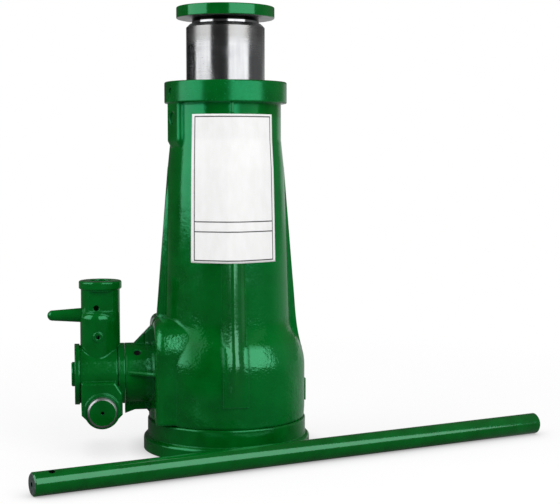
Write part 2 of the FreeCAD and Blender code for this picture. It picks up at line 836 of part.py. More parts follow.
def add_key_boss(body):
    """The round-edged boss outside the guide key, which runs up into the collar."""
    boss = drawing(body, "YZ_Plane", None, Rotation(Vector(0, 1, 0), -size("key_azimuth")))
    outline(boss, [
        ("- key_boss_face", "collar_foot + collar_rounding"),
        ("- key_boss_face", "key_foot - key_boss_drop + key_boss_slope"),
        ("- neck_radius", "key_foot - key_boss_drop"),
        ("- neck_radius + bore_room", "key_foot - key_boss_drop"),
        ("- neck_radius + bore_room", "collar_foot + collar_rounding"),
    ])
    pad(body, boss, "key_boss_width", both_ways=True)
    soften(body, "Fillet", "key_boss_edge", is_key_boss_edge)


def is_key_boss_edge(edge):
    """Whether an edge runs down a side of the key boss's outer face or of the slope under it."""
    outward = key_turn().multVec(Vector(0, -1, 0))
    ends = [vertex.Point for vertex in edge.Vertexes]
    on_face = any(near(end.dot(outward), size("key_boss_face")) for end in ends)
    return on_face and not near(ends[0].z, ends[1].z)


def add_gear_box(body):
    """The gear chamber's squared side."""
    arch = drawing(body, "YZ_Plane")
    outline(arch, [
        ("- box_half_width", "base_height + box_foot"),
        ("box_half_width", "base_height + box_foot"),
        ("box_half_width", "pinion_axis + box_shoulder", "box_shoulder_radius"),
        ("box_top_half_width", "pinion_axis + box_top"),
        ("- box_top_half_width", "pinion_axis + box_top", "box_shoulder_radius"),
        ("- box_half_width", "pinion_axis + box_shoulder"),
    ])
    pad(body, arch, "box_reach", backwards=True)
    soften(body, "Fillet", "box_edge", is_box_edge)


def is_box_edge(edge):
    """Whether an edge bounds the box's outer face, its foot left out."""
    ends = [vertex.Point for vertex in edge.Vertexes]
    on_face = all(near(end.x, -size("box_reach")) for end in ends)
    low = all(near(end.z, number("base_height + box_foot")) for end in ends)
    return on_face and not low


def add_webs(body):
    """The pinion boss, and thin webs from it to the box: above, below and on both sides."""
    boss = drawing(body, "YZ_Plane")
    circle(boss, "0", "pinion_axis", "boss_radius")
    pad(body, boss, "boss_end", backwards=True)
    end = "- boss_end + web_boss_margin"
    root = "- box_reach + web_root"
    over = drawing(body, "XZ_Plane")
    outline(over, [
        (end, "pinion_axis + boss_radius - web_root"),
        (root, "pinion_axis + boss_radius - web_root"),
        (root, "pinion_axis + box_top"),
        ("- box_reach", "pinion_axis + box_top - box_edge"),
        (end, "pinion_axis + boss_radius"),
    ])
    pad(body, over, "web_thickness", both_ways=True)
    under = drawing(body, "XZ_Plane")
    outline(under, [
        ("- boss_end", "pinion_axis - boss_radius + web_root"),
        ("- boss_end", "pinion_axis - boss_radius - web_tip_drop"),
        (end, "pinion_axis - boss_radius - web_drop"),
        ("- box_reach - web_drop", "pinion_axis - boss_radius - web_drop"),
        ("- box_reach", "base_height + box_foot"),
        (root, "base_height + box_foot"),
        (root, "pinion_axis - boss_radius + web_root"),
    ])
    pad(body, under, "web_thickness", both_ways=True)
    tip = "- boss_end + side_web_margin"
    front = drawing(body, "XY_Plane", "pinion_axis + side_web_lift")
    outline(front, [
        (tip, "- boss_radius + web_root"),
        (tip, "- boss_radius"),
        ("- box_reach", "- box_half_width + box_edge"),
        (root, "- box_half_width + box_edge"),
        (root, "- boss_radius + web_root"),
    ])
    pad(body, front, "side_web_thickness", both_ways=True)
    back = drawing(body, "XY_Plane", "pinion_axis + side_web_lift")
    outline(back, [
        (tip, "boss_radius - web_root"),
        (root, "boss_radius - web_root"),
        (root, "box_half_width - box_edge"),
        ("- box_reach", "box_half_width - box_edge"),
        (tip, "boss_radius"),
    ])
    pad(body, back, "side_web_thickness", both_ways=True)


def add_pads(body):
    """A low strip that runs from the front rib down over the dome, and a pad on the side."""
    strip = drawing(body, "YZ_Plane")
    outline(strip, [
        ("- bulge_radius - strip_rise", "base_height + strip_foot"),
        ("- dome_top_radius + rib_core", "base_height + strip_foot"),
        ("- dome_top_radius + rib_core", "dome_top"),
        ("- dome_top_radius - strip_rise", "dome_top", "dome_radius"),
        ("- bulge_radius - strip_rise", "dome_foot"),
    ])
    pad(body, strip, "strip_width", both_ways=True)
    side = drawing(body, "YZ_Plane")
    box_outline(side, "- side_pad_half_width", "side_pad_half_width", "base_height + side_pad_foot",
                "base_height + side_pad_foot + side_pad_height")
    pad(body, side, "bulge_radius + side_pad_rise")


def cut_chamber(body):
    """The room for the gears, the shaft room above it, the guide bore and the seats in both bores."""
    room = drawing(body, "XZ_Plane")
    outline(room, [
        ("0", "base_height"),
        ("chamber_radius", "base_height"),
        ("chamber_radius", "pinion_axis + chamber_shoulder"),
        ("shaft_room_radius", "pinion_axis + chamber_roof"),
        ("shaft_room_radius", "guide_foot - bore_slope"),
        ("sleeve_radius + fit_gap", "guide_foot"),
        ("sleeve_radius + fit_gap", "wiper_foot"),
        ("sleeve_radius + wiper_width + seat_gap", "wiper_foot"),
        ("sleeve_radius + wiper_width + seat_gap", "housing_top"),
        ("0", "housing_top"),
    ])
    groove(body, room)
    recess = drawing(body, "YZ_Plane")
    circle(recess, "0", "pinion_axis", "pinion_tip_radius + pinion_room")
    pocket(body, recess, "bush_seat")
    bore = drawing(body, "YZ_Plane")
    circle(bore, "0", "pinion_axis", "bush_radius + seat_gap")
    pocket(body, bore, "boss_end")
    slot = drawing(body, "XY_Plane", "key_foot", key_turn())
    box_outline(slot, "- key_half_width - seat_gap", "key_half_width + seat_gap",
                "- sleeve_radius - key_back - seat_gap", "- sleeve_radius + key_depth")
    pocket(body, slot, "wiper_foot - key_foot", backwards=True)


def cut_housing_holes(body):
    """Holes for the base screws, the bush lock screw, the key screw and the oil screw."""
    foot = drawing(body, "XY_Plane", "base_height", rib_gap_turn())
    circle(foot, "base_screw_circle", "0", "base_screw_radius + seat_gap")
    depth = "base_screw_recess + base_screw_length + pilot_end_gap - base_height"
    ring_of(body, pocket(body, foot, depth, backwards=True), "base_screw_count")
    lock = drawing(body, "XY_Plane", "pinion_axis", lock_turn(), "- boss_end + lock_screw_reach")
    outline(lock, [
        ("0", "0"),
        ("lock_screw_radius + seat_gap", "0"),
        ("lock_screw_radius + seat_gap", "- boss_radius - boss_wall"),
        ("0", "- boss_radius - boss_wall"),
    ])
    groove(body, lock)
    key = drawing(body, "XY_Plane", "key_foot + key_screw_height", key_turn())
    outline(key, [
        ("0", "- sleeve_radius"),
        ("key_screw_radius + screw_slack", "- sleeve_radius"),
        ("key_screw_radius + screw_slack", "- key_boss_face + key_screw_recess"),
        ("key_screw_head_radius + screw_slack", "- key_boss_face + key_screw_recess"),
        ("key_screw_head_radius + screw_slack", "- key_boss_face - key_screw_recess"),
        ("0", "- key_boss_face - key_screw_recess"),
    ])
    groove(body, key)
    oil = drawing(body, "XY_Plane", "collar_foot + oil_screw_height", key_turn())
    outline(oil, [
        ("0", "- sleeve_radius"),
        ("oil_way_radius", "- sleeve_radius"),
        ("oil_way_radius", "- collar_radius + oil_screw_depth"),
        ("key_screw_radius + seat_gap", "- collar_radius + oil_screw_depth"),
        ("key_screw_radius + seat_gap", "- collar_radius - oil_screw_inset"),
        ("0", "- collar_radius - oil_screw_inset"),
    ])
    groove(body, oil)


def pinion_bush():
    """Flanged bronze bush of the pinion shaft, with a seat for its lock screw."""
    body = turned("pinion_bush", [
        ("- bush_front", "shaft_radius + fit_gap"),
        ("- bush_front", "bush_radius + bush_flange_width"),
        ("- bush_seat", "bush_radius + bush_flange_width"),
        ("- bush_seat", "bush_radius"),
        ("- boss_end + bush_end_inset", "bush_radius"),
        ("- boss_end + bush_end_inset", "shaft_radius + fit_gap"),
    ], "H_Axis", "pinion_axis")
    seat = drawing(body, "XY_Plane", None, lock_turn(), "- boss_end + lock_screw_reach")
    outline(seat, [
        ("0", "- bush_radius + lock_screw_bite"),
        ("lock_screw_radius + seat_gap", "- bush_radius + lock_screw_bite"),
        ("lock_screw_radius + seat_gap", "- bush_radius - lock_screw_bite"),
        ("0", "- bush_radius - lock_screw_bite"),
    ])
    groove(body, seat)
    return body


def bush_lock_screw():
    """Set screw through the boss into the bush."""
    body = piece("bush_lock_screw", "pinion_axis")
    sketch = drawing(body, "XY_Plane", None, lock_turn(), "- boss_end + lock_screw_reach")
    outline(sketch, [
        ("0", "- bush_radius + lock_screw_bite"),
        ("lock_screw_radius", "- bush_radius + lock_screw_bite"),
        ("lock_screw_radius", "- boss_radius + lock_screw_inset"),
        ("0", "- boss_radius + lock_screw_inset"),
    ])
    revolve(body, sketch)
    return body


def guide_key():
    """Key that keeps the sleeve from turning."""
    body = piece("guide_key")
    sketch = drawing(body, "XY_Plane", "key_foot", key_turn())
    box_outline(sketch, "- key_half_width", "key_half_width", "- sleeve_radius - key_back",
                "- sleeve_radius + key_depth - key_floor_gap")
    pad(body, sketch, "key_length")
    thread = drawing(body, "XY_Plane", "key_foot + key_screw_height", key_turn())
    outline(thread, [
        ("0", "- sleeve_radius - key_back + key_screw_bite"),
        ("key_screw_radius + seat_gap", "- sleeve_radius - key_back + key_screw_bite"),
        ("key_screw_radius + seat_gap", "- sleeve_radius - key_back - key_screw_bite"),
        ("0", "- sleeve_radius - key_back - key_screw_bite"),
    ])
    groove(body, thread)
    return body


def guide_key_screw():
    """Cap screw that holds the guide key from outside its boss."""
    body = piece("guide_key_screw")
    sketch = drawing(body, "XY_Plane", "key_foot + key_screw_height", key_turn())
    seat = "- key_boss_face + key_screw_recess"
    outline(sketch, [
        ("0", "- sleeve_radius - key_back + key_screw_bite"),
        ("key_screw_radius", "- sleeve_radius - key_back + key_screw_bite"),
        ("key_screw_radius", seat),
        ("key_screw_head_radius", seat),
        ("key_screw_head_radius", seat + " - key_screw_head_height"),
        ("0", seat + " - key_screw_head_height"),
    ])
    revolve(body, sketch)
    return body


def oil_screw():
    """Plug screw of the oil way in the collar."""
    body = piece("oil_screw")
    sketch = drawing(body, "XY_Plane", "collar_foot + oil_screw_height", key_turn())
    outline(sketch, [
        ("0", "- collar_radius + oil_screw_depth"),
        ("key_screw_radius", "- collar_radius + oil_screw_depth"),
        ("key_screw_radius", "- collar_radius + oil_screw_inset"),
        ("0", "- collar_radius + oil_screw_inset"),
    ])
    revolve(body, sketch)
    return body


def wiper_ring():
    """Felt ring in the top of the collar."""
    return turned("wiper_ring", tube_corners("sleeve_radius + fit_gap", "sleeve_radius + wiper_width",
                                             "wiper_foot", "wiper_foot + wiper_height"))


def lifting_sleeve():
    """Plain column with the nut's seat below, a closed top and the keyway."""
    body = turned("lifting_sleeve", [
        ("nut_radius + seat_gap", "sleeve_bottom"),
        ("sleeve_radius", "sleeve_bottom"),
        ("sleeve_radius", "sleeve_top"),
        ("cap_screw_radius + seat_gap", "sleeve_top"),
        ("cap_screw_radius + seat_gap", "sleeve_roof"),
        ("screw_radius + screw_room", "sleeve_roof"),
        ("screw_radius + screw_room", "sleeve_bottom + nut_length"),
        ("nut_radius + seat_gap", "sleeve_bottom + nut_length"),
    ])
    soften(body, "Chamfer", "sleeve_chamfer", circle_at("sleeve_radius", "sleeve_top"))
    way = drawing(body, "XY_Plane", "key_foot - lift_left - keyway_spare", key_turn())
    box_outline(way, "- key_half_width - fit_gap", "key_half_width + fit_gap",
                "- sleeve_radius - key_depth", "- sleeve_radius + key_depth")
    length = "key_length + lift_left + lift_shown + keyway_spare + keyway_spare"
    pocket(body, way, length, backwards=True)
    cut_nut_locks(body)
    return body


def cut_nut_locks(body):
    """Half holes on the seam between nut and sleeve."""
    lock = drawing(body, "XY_Plane", "sleeve_bottom")
    circle(lock, "nut_radius", "0", "nut_lock_radius + seat_gap")
    ring_of(body, pocket(body, lock, "nut_lock_length", backwards=True), "nut_lock_count")


def lifting_nut():
    """Bronze nut in the foot of the sleeve."""
    body = turned("lifting_nut", tube_corners("screw_radius + fit_gap", "nut_radius",
                                              "sleeve_bottom", "sleeve_bottom + nut_length"))
    cut_nut_locks(body)
    return body


def nut_lock_screws():
    """Set screws in the seam that keep the nut from turning."""
    body = piece("nut_lock_screws")
    sketch = drawing(body, "XY_Plane", "sleeve_bottom")
    circle(sketch, "nut_radius", "0", "nut_lock_radius")
    ring_of(body, pad(body, sketch, "nut_lock_length"), "nut_lock_count")
    return body


def head_cap():
    """Swivelling load cap: neck, disc with grip grooves, and a recess for its screw."""
    floor = "cap_top - cap_screw_inset - cap_screw_head_height"
    body = turned("head_cap", [
        ("cap_screw_shoulder_radius + fit_gap", "sleeve_top"),
        ("cap_neck_radius", "sleeve_top"),
        ("cap_neck_radius", "cap_foot"),
        ("cap_radius", "cap_foot"),
        ("cap_radius", "cap_top"),
        ("cap_screw_head_radius + free_gap", "cap_top"),
        ("cap_screw_head_radius + free_gap", floor),
        ("cap_screw_shoulder_radius + fit_gap", floor),
    ])
    for place in ("cap_foot", "cap_top"):
        soften(body, "Fillet", "cap_edge", circle_at("cap_radius", place))
    for inner in ("cap_groove_radius", "cap_groove_radius + cap_groove_pitch"):
        ring = drawing(body, "XZ_Plane")
        box_outline(ring, inner, inner + " + cap_groove_width", "cap_top - cap_groove_depth", "cap_top")
        groove(body, ring)
    return body


def cap_screw():
    """Shoulder screw that holds the cap and lets it turn."""
    head = "cap_top - cap_screw_inset - cap_screw_head_height + fit_gap"
    return turned("cap_screw", [
        ("0", "sleeve_top - cap_screw_length"),
        ("cap_screw_radius", "sleeve_top - cap_screw_length"),
        ("cap_screw_radius", "sleeve_top"),
        ("cap_screw_shoulder_radius", "sleeve_top"),
        ("cap_screw_shoulder_radius", head),
        ("cap_screw_head_radius", head),
        ("cap_screw_head_radius", head + " + cap_screw_head_height"),
        ("0", head + " + cap_screw_head_height"),
    ])


def lifting_screw():
    """Screw with its pilot, the gear's journal with a keyway, and the threaded length."""
    body = turned("lifting_screw", [
        ("0", "pilot_floor + pilot_end_gap"),
        ("pilot_radius", "pilot_floor + pilot_end_gap"),
        ("pilot_radius", "bearing_top - gear_spigot"),
        ("screw_seat_radius", "bearing_top - gear_spigot"),
        ("screw_seat_radius", "gear_hub_top"),
        ("screw_radius", "gear_hub_top"),
        ("screw_radius", "screw_top"),
        ("0", "screw_top"),
    ])
    soften(body, "Chamfer", "screw_chamfer", circle_at("screw_radius", "screw_top"))
    cut_gear_key(body, "bearing_top + gear_key_end", "gear_hub_height - gear_key_end - gear_key_end", "0")
    return body


def cut_gear_key(body, foot, length, gap):
    """Keyway of the bevel gear, on the +X side."""
    way = drawing(body, "XY_Plane", foot)
    box_outline(way, "screw_seat_radius - gear_key_half_height", "screw_seat_radius + gear_key_half_height",
                "- gear_key_half_width - " + gap, "gear_key_half_width + " + gap)
    pocket(body, way, length, backwards=True)


def involute(angle):
    """The involute function of an angle."""
    return math.tan(angle) - angle


def bevel_flank(teeth, cone_angle):
    """Half the tooth outline at the large end, from below the root to the tip, on the equivalent spur gear."""
    module = size("tooth_module")
    pressure = math.radians(size("pressure_angle"))
    pitch = module * teeth / (2 * math.cos(cone_angle))
    base = pitch * math.cos(pressure)
    root = pitch - size("dedendum")
    tip = pitch + module
    half = (math.pi * module - size("tooth_backlash")) / (4 * pitch)

    def spot(radius):
        rolled = math.acos(min(base / radius, 1))
        turn = half + involute(pressure) - involute(rolled)
        return radius * math.sin(turn), radius * math.cos(turn) - pitch
    foot = max(base, root)
    across, along = spot(foot)
    sunk = (across, root - pitch - size("tooth_root_overlap"))
    return [sunk, (across, along), spot((foot + pitch) / 2), spot(pitch), spot((pitch + tip) / 2), spot(tip)]


def bevel_tooth(body, apex, axis, radial, teeth, pitch_radius, reach):
    """One straight bevel tooth between its large end and the same outline shrunk towards the apex."""
    cone_angle = math.atan2(pitch_radius, reach)
    generator = (axis * reach + radial * pitch_radius).normalize()
    outward = radial * math.cos(cone_angle) - axis * math.sin(cone_angle)
    facing = Rotation(outward.cross(generator), outward, generator, "ZXY")
    flank = bevel_flank(teeth, cone_angle)
    whole = flank + [(-x, y) for x, y in reversed(flank)]
    ends = []
    for scale in (1.0, size("face_scale")):
        sketch = body.newObject("Sketcher::SketchObject", body.Name + "_tooth")
        sketch.Placement = Placement(apex + generator * (size("cone_distance") * scale), facing)
        computed_outline(sketch, [(x * scale, y * scale) for x, y in whole])
        ends.append(sketch)
    tooth = body.newObject("PartDesign::AdditiveLoft", body.Name + "_loft")
    tooth.Profile = ends[0]
    tooth.Sections = ends[1:]
    tooth.Ruled = True
    return finish(body, tooth)


def bevel_gear():
    """Large bevel gear, with a spigot in the upper race and a keyed bore."""
    bore = "screw_seat_radius + seat_gap"
    body = turned("bevel_gear", [
        (bore, "bearing_top - gear_spigot"),
        ("race_bore_radius - seat_gap", "bearing_top - gear_spigot"),
        ("race_bore_radius - seat_gap", "bearing_top"),
        ("gear_root_radius - gear_back_taper", "bearing_top"),
        ("gear_root_radius", "pinion_axis - gear_root_depth"),
        ("gear_inner_root_radius", "pinion_axis - gear_inner_root_depth"),
        ("gear_hub_radius", "gear_hub_top"),
        (bore, "gear_hub_top"),
    ])
    tooth = bevel_tooth(body, Vector(0, 0, size("pinion_axis")), Vector(0, 0, -1), Vector(1, 0, 0),
                        size("gear_teeth"), size("gear_pitch_radius"), size("pinion_pitch_radius"))
    ring_of(body, tooth, "gear_teeth")
    cut_gear_key(body, "bearing_top - gear_spigot", "gear_spigot + gear_hub_height", "seat_gap")
    return body


def gear_key():
    """Key between the bevel gear and the screw."""
    body = piece("gear_key")
    sketch = drawing(body, "XY_Plane", "bearing_top + gear_key_end")
    box_outline(sketch, "screw_seat_radius - gear_key_half_height",
                "screw_seat_radius + gear_key_half_height - seat_gap",
                "- gear_key_half_width + seat_gap", "gear_key_half_width - seat_gap")
    pad(body, sketch, "gear_hub_height - gear_key_end - gear_key_end")
    return body


def pinion_shaft():
    """Bevel pinion in one piece with its shaft: journals, wheel seat, ring groove and visible end."""
    body = turned("pinion_shaft", [
        ("- pinion_front", "0"),
        ("- pinion_front", "pinion_inner_root_radius"),
        ("- pinion_root_reach", "pinion_root_radius"),
        ("- pinion_back", "pinion_root_radius"),
        ("- pinion_back", "shaft_radius"),
        ("- boss_end", "shaft_radius"),
        ("- boss_end", "head_journal_radius"),
        ("- wheel_start", "head_journal_radius"),
        ("- wheel_start", "wheel_bore_radius"),
        ("- wheel_end", "wheel_bore_radius"),
        ("- wheel_end", "wheel_bore_radius - ring_depth"),
        ("- ring_end", "wheel_bore_radius - ring_depth"),
        ("- ring_end", "wheel_bore_radius"),
        ("- ring_end - ring_lip", "wheel_bore_radius"),
        ("- ring_end - ring_lip", "shaft_end_radius"),
        ("- shaft_end", "shaft_end_radius"),
        ("- shaft_end", "0"),
    ], "H_Axis", "pinion_axis")
    soften(body, "Chamfer", "shaft_end_chamfer", circle_at("shaft_end_radius", "- shaft_end", "x"))
    half_pitch = math.pi / size("pinion_teeth")
    radial = Vector(0, math.sin(half_pitch), -math.cos(half_pitch))
    tooth = bevel_tooth(body, ORIGIN, Vector(-1, 0, 0), radial, size("pinion_teeth"),
                        size("pinion_pitch_radius"), size("gear_pitch_radius"))
    ring_of(body, tooth, "pinion_teeth", "X_Axis")
    cut_wheel_key(body, "- wheel_start - wheel_key_end", "wheel_length - wheel_key_end - wheel_key_end", "0")
    return body


def cut_wheel_key(body, start, length, gap):
    """Keyway of the ratchet wheel, on the upper side."""
    way = drawing(body, "YZ_Plane", start)
    box_outline(way, "- wheel_key_half_width - " + gap, "wheel_key_half_width + " + gap,
                "wheel_bore_radius - wheel_key_half_height", "wheel_bore_radius + wheel_key_half_height")
    pocket(body, way, length)


def ratchet_wheel():
    """Toothed wheel of the ratchet, driven either way."""
    body = turned("ratchet_wheel", [
        ("- wheel_start", "wheel_bore_radius + seat_gap"),
        ("- wheel_start", "wheel_root_radius"),
        ("- wheel_end", "wheel_root_radius"),
        ("- wheel_end", "wheel_bore_radius + seat_gap"),
    ], "H_Axis", "pinion_axis")
    tooth = drawing(body, "YZ_Plane", "- wheel_start")
    outline(tooth, [
        ("- wheel_root_half_width", "- wheel_root_radius + tooth_root_overlap"),
        ("- wheel_tip_half_width", "- wheel_tip_radius"),
        ("wheel_tip_half_width", "- wheel_tip_radius"),
        ("wheel_root_half_width", "- wheel_root_radius + tooth_root_overlap"),
    ])
    ring_of(body, pad(body, tooth, "wheel_length", backwards=True), "wheel_teeth", "X_Axis")
    cut_wheel_key(body, "- wheel_start", "wheel_length", "seat_gap")
    return body


def wheel_key():
    """Key between the ratchet wheel and the shaft."""
    body = piece("wheel_key", "pinion_axis")
    sketch = drawing(body, "YZ_Plane", "- wheel_start - wheel_key_end")
    box_outline(sketch, "- wheel_key_half_width + seat_gap", "wheel_key_half_width - seat_gap",
                "wheel_bore_radius - wheel_key_half_height",
                "wheel_bore_radius + wheel_key_half_height - seat_gap")
    pad(body, sketch, "wheel_length - wheel_key_end - wheel_key_end", backwards=True)
    return body


def wheel_ring():
    """Retaining ring in the shaft's groove."""
    return turned("wheel_ring", [
        ("- wheel_end", "wheel_bore_radius - ring_depth + seat_gap"),
        ("- wheel_end", "wheel_bore_radius + ring_rise"),
        ("- ring_end", "wheel_bore_radius + ring_rise"),
        ("- ring_end", "wheel_bore_radius - ring_depth + seat_gap"),
    ], "H_Axis", "pinion_axis")


def ratchet_head():
    """Head casting: barrel round the ratchet wheel, handle socket above and pawl block below."""
    body = turned("ratchet_head", [
        ("- head_start", "0"),
        ("- head_start", "head_flange_radius"),
        ("- head_start - head_flange", "head_flange_radius"),
        ("- head_start - head_flange", "head_groove_radius"),
        ("- head_start - head_flange - head_groove", "head_groove_radius"),
        ("- head_start - head_flange - head_groove", "barrel_radius"),
        ("- barrel_end", "barrel_radius"),
        ("- barrel_end", "0"),
    ], "H_Axis", "pinion_axis")
    add_block(body)
    add_socket(body)
    cut_barrel(body)
    cut_socket(body)
    cut_block(body)
    return body


def add_block(body):
    """The pawl block: flat sides that slope in to a round foot, and a raised ring about the shift pin."""
    block = drawing(body, "XZ_Plane")
    outline(block, [
        ("- head_middle - block_half_width", "- pin_drop - block_side_drop"),
        ("- head_middle - block_foot_corner", "- pin_drop - block_foot_corner", "block_foot_radius"),
        ("- head_middle + block_foot_corner", "- pin_drop - block_foot_corner"),
        ("- head_middle + block_half_width", "- pin_drop - block_side_drop"),
        ("- head_middle + block_half_width", "- block_top - block_corner_height"),
        ("- head_middle + block_half_width - block_corner_width", "- block_top"),
        ("- head_middle - block_half_width", "- block_top"),
    ])
    pad(body, block, "block_depth", both_ways=True)
    face = size("block_half_depth")
    soften(body, "Fillet", "block_edge",
           lambda edge: all(near(abs(vertex.Y), face) for vertex in edge.Vertexes)
           and near(edge.Vertexes[0].Y, edge.Vertexes[-1].Y))
    ring = drawing(body, "XZ_Plane")
    circle(ring, "- head_middle", "- pin_drop", "block_foot_radius")
    pad(body, ring, "pin_ring_depth", both_ways=True)


def add_socket(body):
    """The handle socket with its lip, the boss in front of its foot and the ring of the oil hole."""
    tube = drawing(body, "XY_Plane")
    circle(tube, "- head_middle", "0", "tube_radius")
    pad(body, tube, "tube_height")
    lip = drawing(body, "XY_Plane", "tube_height - lip_height")
    circle(lip, "- head_middle", "0", "lip_radius")
    pad(body, lip, "lip_height")
    for place in ("tube_height", "tube_height - lip_height"):
        soften(body, "Fillet", "lip_rounding", circle_at("lip_radius", place))
    boss = drawing(body, "XZ_Plane", "pocket_boss_forward", None, "- head_middle - pocket_boss_shift")
    outline(boss, [
        ("0", "0"),
        ("pocket_boss_radius", "0"),
        ("pocket_boss_radius", "pocket_boss_height - pocket_boss_rounding", "pocket_boss_rounding"),
        ("pocket_boss_radius - pocket_boss_rounding", "pocket_boss_height"),
        ("0", "pocket_boss_height"),
    ])
    revolve(body, boss)
    ring = drawing(body, "XZ_Plane")
    circle(ring, "- head_middle - pocket_boss_shift", "oil_hole_height", "oil_ring_radius")
    pad(body, ring, "pocket_boss_forward + pocket_boss_radius + oil_ring_rise")


def cut_barrel(body):
    """The wheel's room, the bearing on the shaft and the threads of the cover screws."""
    room = drawing(body, "YZ_Plane", "- barrel_start")
    circle(room, "0", "0", "barrel_bore_radius")
    pocket(body, room, "barrel_length")
    journal = drawing(body, "YZ_Plane", "- head_start")
    circle(journal, "0", "0", "head_journal_radius + fit_gap")
    pocket(body, journal, "head_wall")
    thread = drawing(body, "YZ_Plane", "- cover_end + cover_screw_length")
    circle(thread, "cover_screw_circle", "0", "cover_screw_radius + seat_gap")
    ring_of(body, pocket(body, thread, "cover_screw_length"), "cover_screw_count", "X_Axis")


def cut_socket(body):
    """The handle's bore, the flat with its lock hole, the oil hole and the crank peg's seat."""
    bore = drawing(body, "XY_Plane", "tube_height")
    circle(bore, "- head_middle", "0", "handle_radius + handle_socket_gap")
    pocket(body, bore, "tube_height - socket_floor")
    flat = drawing(body, "XZ_Plane", "facet_depth")
    box_outline(flat, "- head_middle - tube_radius", "- head_middle + tube_radius", "facet_foot", "facet_top")
    pocket(body, flat, "facet_cut", backwards=True)
    lock = drawing(body, "XZ_Plane")
    circle(lock, "- head_middle - lock_hole_shift", "lock_hole_height", "lock_hole_radius")
    pocket(body, lock, "tube_radius", backwards=True)
    oil = drawing(body, "XZ_Plane", "pocket_boss_forward + pocket_boss_radius + oil_ring_rise")
    circle(oil, "- head_middle - pocket_boss_shift", "oil_hole_height", "oil_hole_radius")
    pocket(body, oil, "oil_hole_depth")
    for radius, start in (("peg_stem_radius", "- head_middle - peg_seat + peg_stem_length"),
                          ("peg_root_radius", "- head_middle - peg_seat")):
        seat = drawing(body, "YZ_Plane", start)
        circle(seat, "0", "peg_height", radius + " + seat_gap")
        pocket(body, seat, "peg_seat")


def cut_block(body):
    """The shift pin's bore, the pawl's pocket, the pivot's hole and the stop screw's hole."""
    bore = drawing(body, "XZ_Plane")
    circle(bore, "- head_middle", "- pin_drop", "pin_radius + fit_gap")
    pocket(body, bore, "pin_length", both_ways=True)
    room = drawing(body, "YZ_Plane", "- head_middle")
    box_outline(room, "- pawl_pocket_half_width", "pawl_pocket_half_width", "- pin_drop - pin_floor",
                "- pawl_pocket_top")
    pocket(body, room, "pawl_pocket_width", both_ways=True)
    pivot = drawing(body, "YZ_Plane", "- head_middle + block_half_width - pivot_pin_end")
    circle(pivot, "0", "- pawl_drop", "pawl_pivot_radius + seat_gap")
    pocket(body, pivot, "block_half_width + block_half_width")
    stop = drawing(body, "YZ_Plane", "- head_middle - block_half_width")
    circle(stop, "stop_screw_place", "- pin_drop", "stop_screw_radius + seat_gap")
    pocket(body, stop, "block_half_width - pin_radius + fit_gap", backwards=True)


def head_cover():
    """Disc that closes the barrel and carries the shaft's end."""
    body = turned("head_cover", [
        ("- barrel_end", "shaft_end_radius + fit_gap"),
        ("- barrel_end", "head_flange_radius"),
        ("- cover_end", "head_flange_radius"),
        ("- cover_end", "shaft_end_radius + fit_gap"),
    ], "H_Axis", "pinion_axis")
    for place in ("- barrel_end", "- cover_end"):
        soften(body, "Fillet", "cover_edge", circle_at("head_flange_radius", place, "x"))
    hole = drawing(body, "YZ_Plane", "- barrel_end")
    circle(hole, "cover_screw_circle", "0", "cover_screw_radius + seat_gap")
    ring_of(body, pocket(body, hole, "cover_thickness"), "cover_screw_count", "X_Axis")
    seat = drawing(body, "YZ_Plane", "- cover_end + cover_screw_head_height")
    circle(seat, "cover_screw_circle", "0", "cover_screw_head_radius + seat_gap")
    ring_of(body, pocket(body, seat, "cover_screw_head_height"), "cover_screw_count", "X_Axis")
    return body


def cover_screws():
    """Screws of the cover, with their heads sunk in it."""
    body = piece("cover_screws", "pinion_axis")
    for radius, start, length in (
            ("cover_screw_radius", "- cover_end + cover_screw_length", "cover_screw_length"),
            ("cover_screw_head_radius", "- cover_end + cover_screw_head_height", "cover_screw_head_height")):
        sketch = drawing(body, "YZ_Plane", start)
        circle(sketch, "cover_screw_circle", "0", radius)
        ring_of(body, pad(body, sketch, length, backwards=True), "cover_screw_count", "X_Axis")
    return body


def crank_peg():
    """Tapered peg pressed into the side of the handle socket."""
    seat = "- head_middle - peg_seat"
    return turned("crank_peg", [
        (seat + " + peg_stem_length", "0"),
        (seat + " + peg_stem_length", "peg_stem_radius"),
        (seat, "peg_stem_radius"),
        (seat, "peg_root_radius"),
        (seat + " - peg_length + peg_tip_radius", "peg_tip_radius", "peg_tip_radius"),
        (seat + " - peg_length", "0"),
    ], "H_Axis", "pinion_axis + peg_height")


def pawl_arm():
    """Right half of the pawl about its pivot, from the tail to the top of the hub.

    The arm is laid out with its tooth in a gap of the wheel, an eighth of a turn from the bottom, and then
    turned back to the middle position.
    """
    clear = size("wheel_tip_radius") + size("pawl_arm_gap")
    reach = size("pawl_tooth_reach")
    tip = size("pawl_tooth_half_width") / reach
    root = size("pawl_tooth_root_half_width") / clear
    middle = math.pi / 4
    polar = [
        (clear + size("pawl_arm_thickness"), middle + root / 2),
        (clear, middle + root),
        (reach, middle + tip),
        (reach, middle - tip),
        (clear, middle - root),
        (clear + size("pawl_arm_gap"), middle / 2),
    ]
    rock = math.radians(size("pawl_rock"))
    arm = []
    for radius, angle in polar:
        across = radius * math.sin(angle)
        along = size("pawl_drop") - radius * math.cos(angle)
        arm.append((across * math.cos(rock) + along * math.sin(rock),
                    along * math.cos(rock) - across * math.sin(rock)))
    hub = size("pawl_hub_radius")
    half = size("pawl_tail_half_width")
    tail = [(half, -size("pawl_tail_length")), (half, -hub), (hub, -hub / 2)]
    return tail + arm


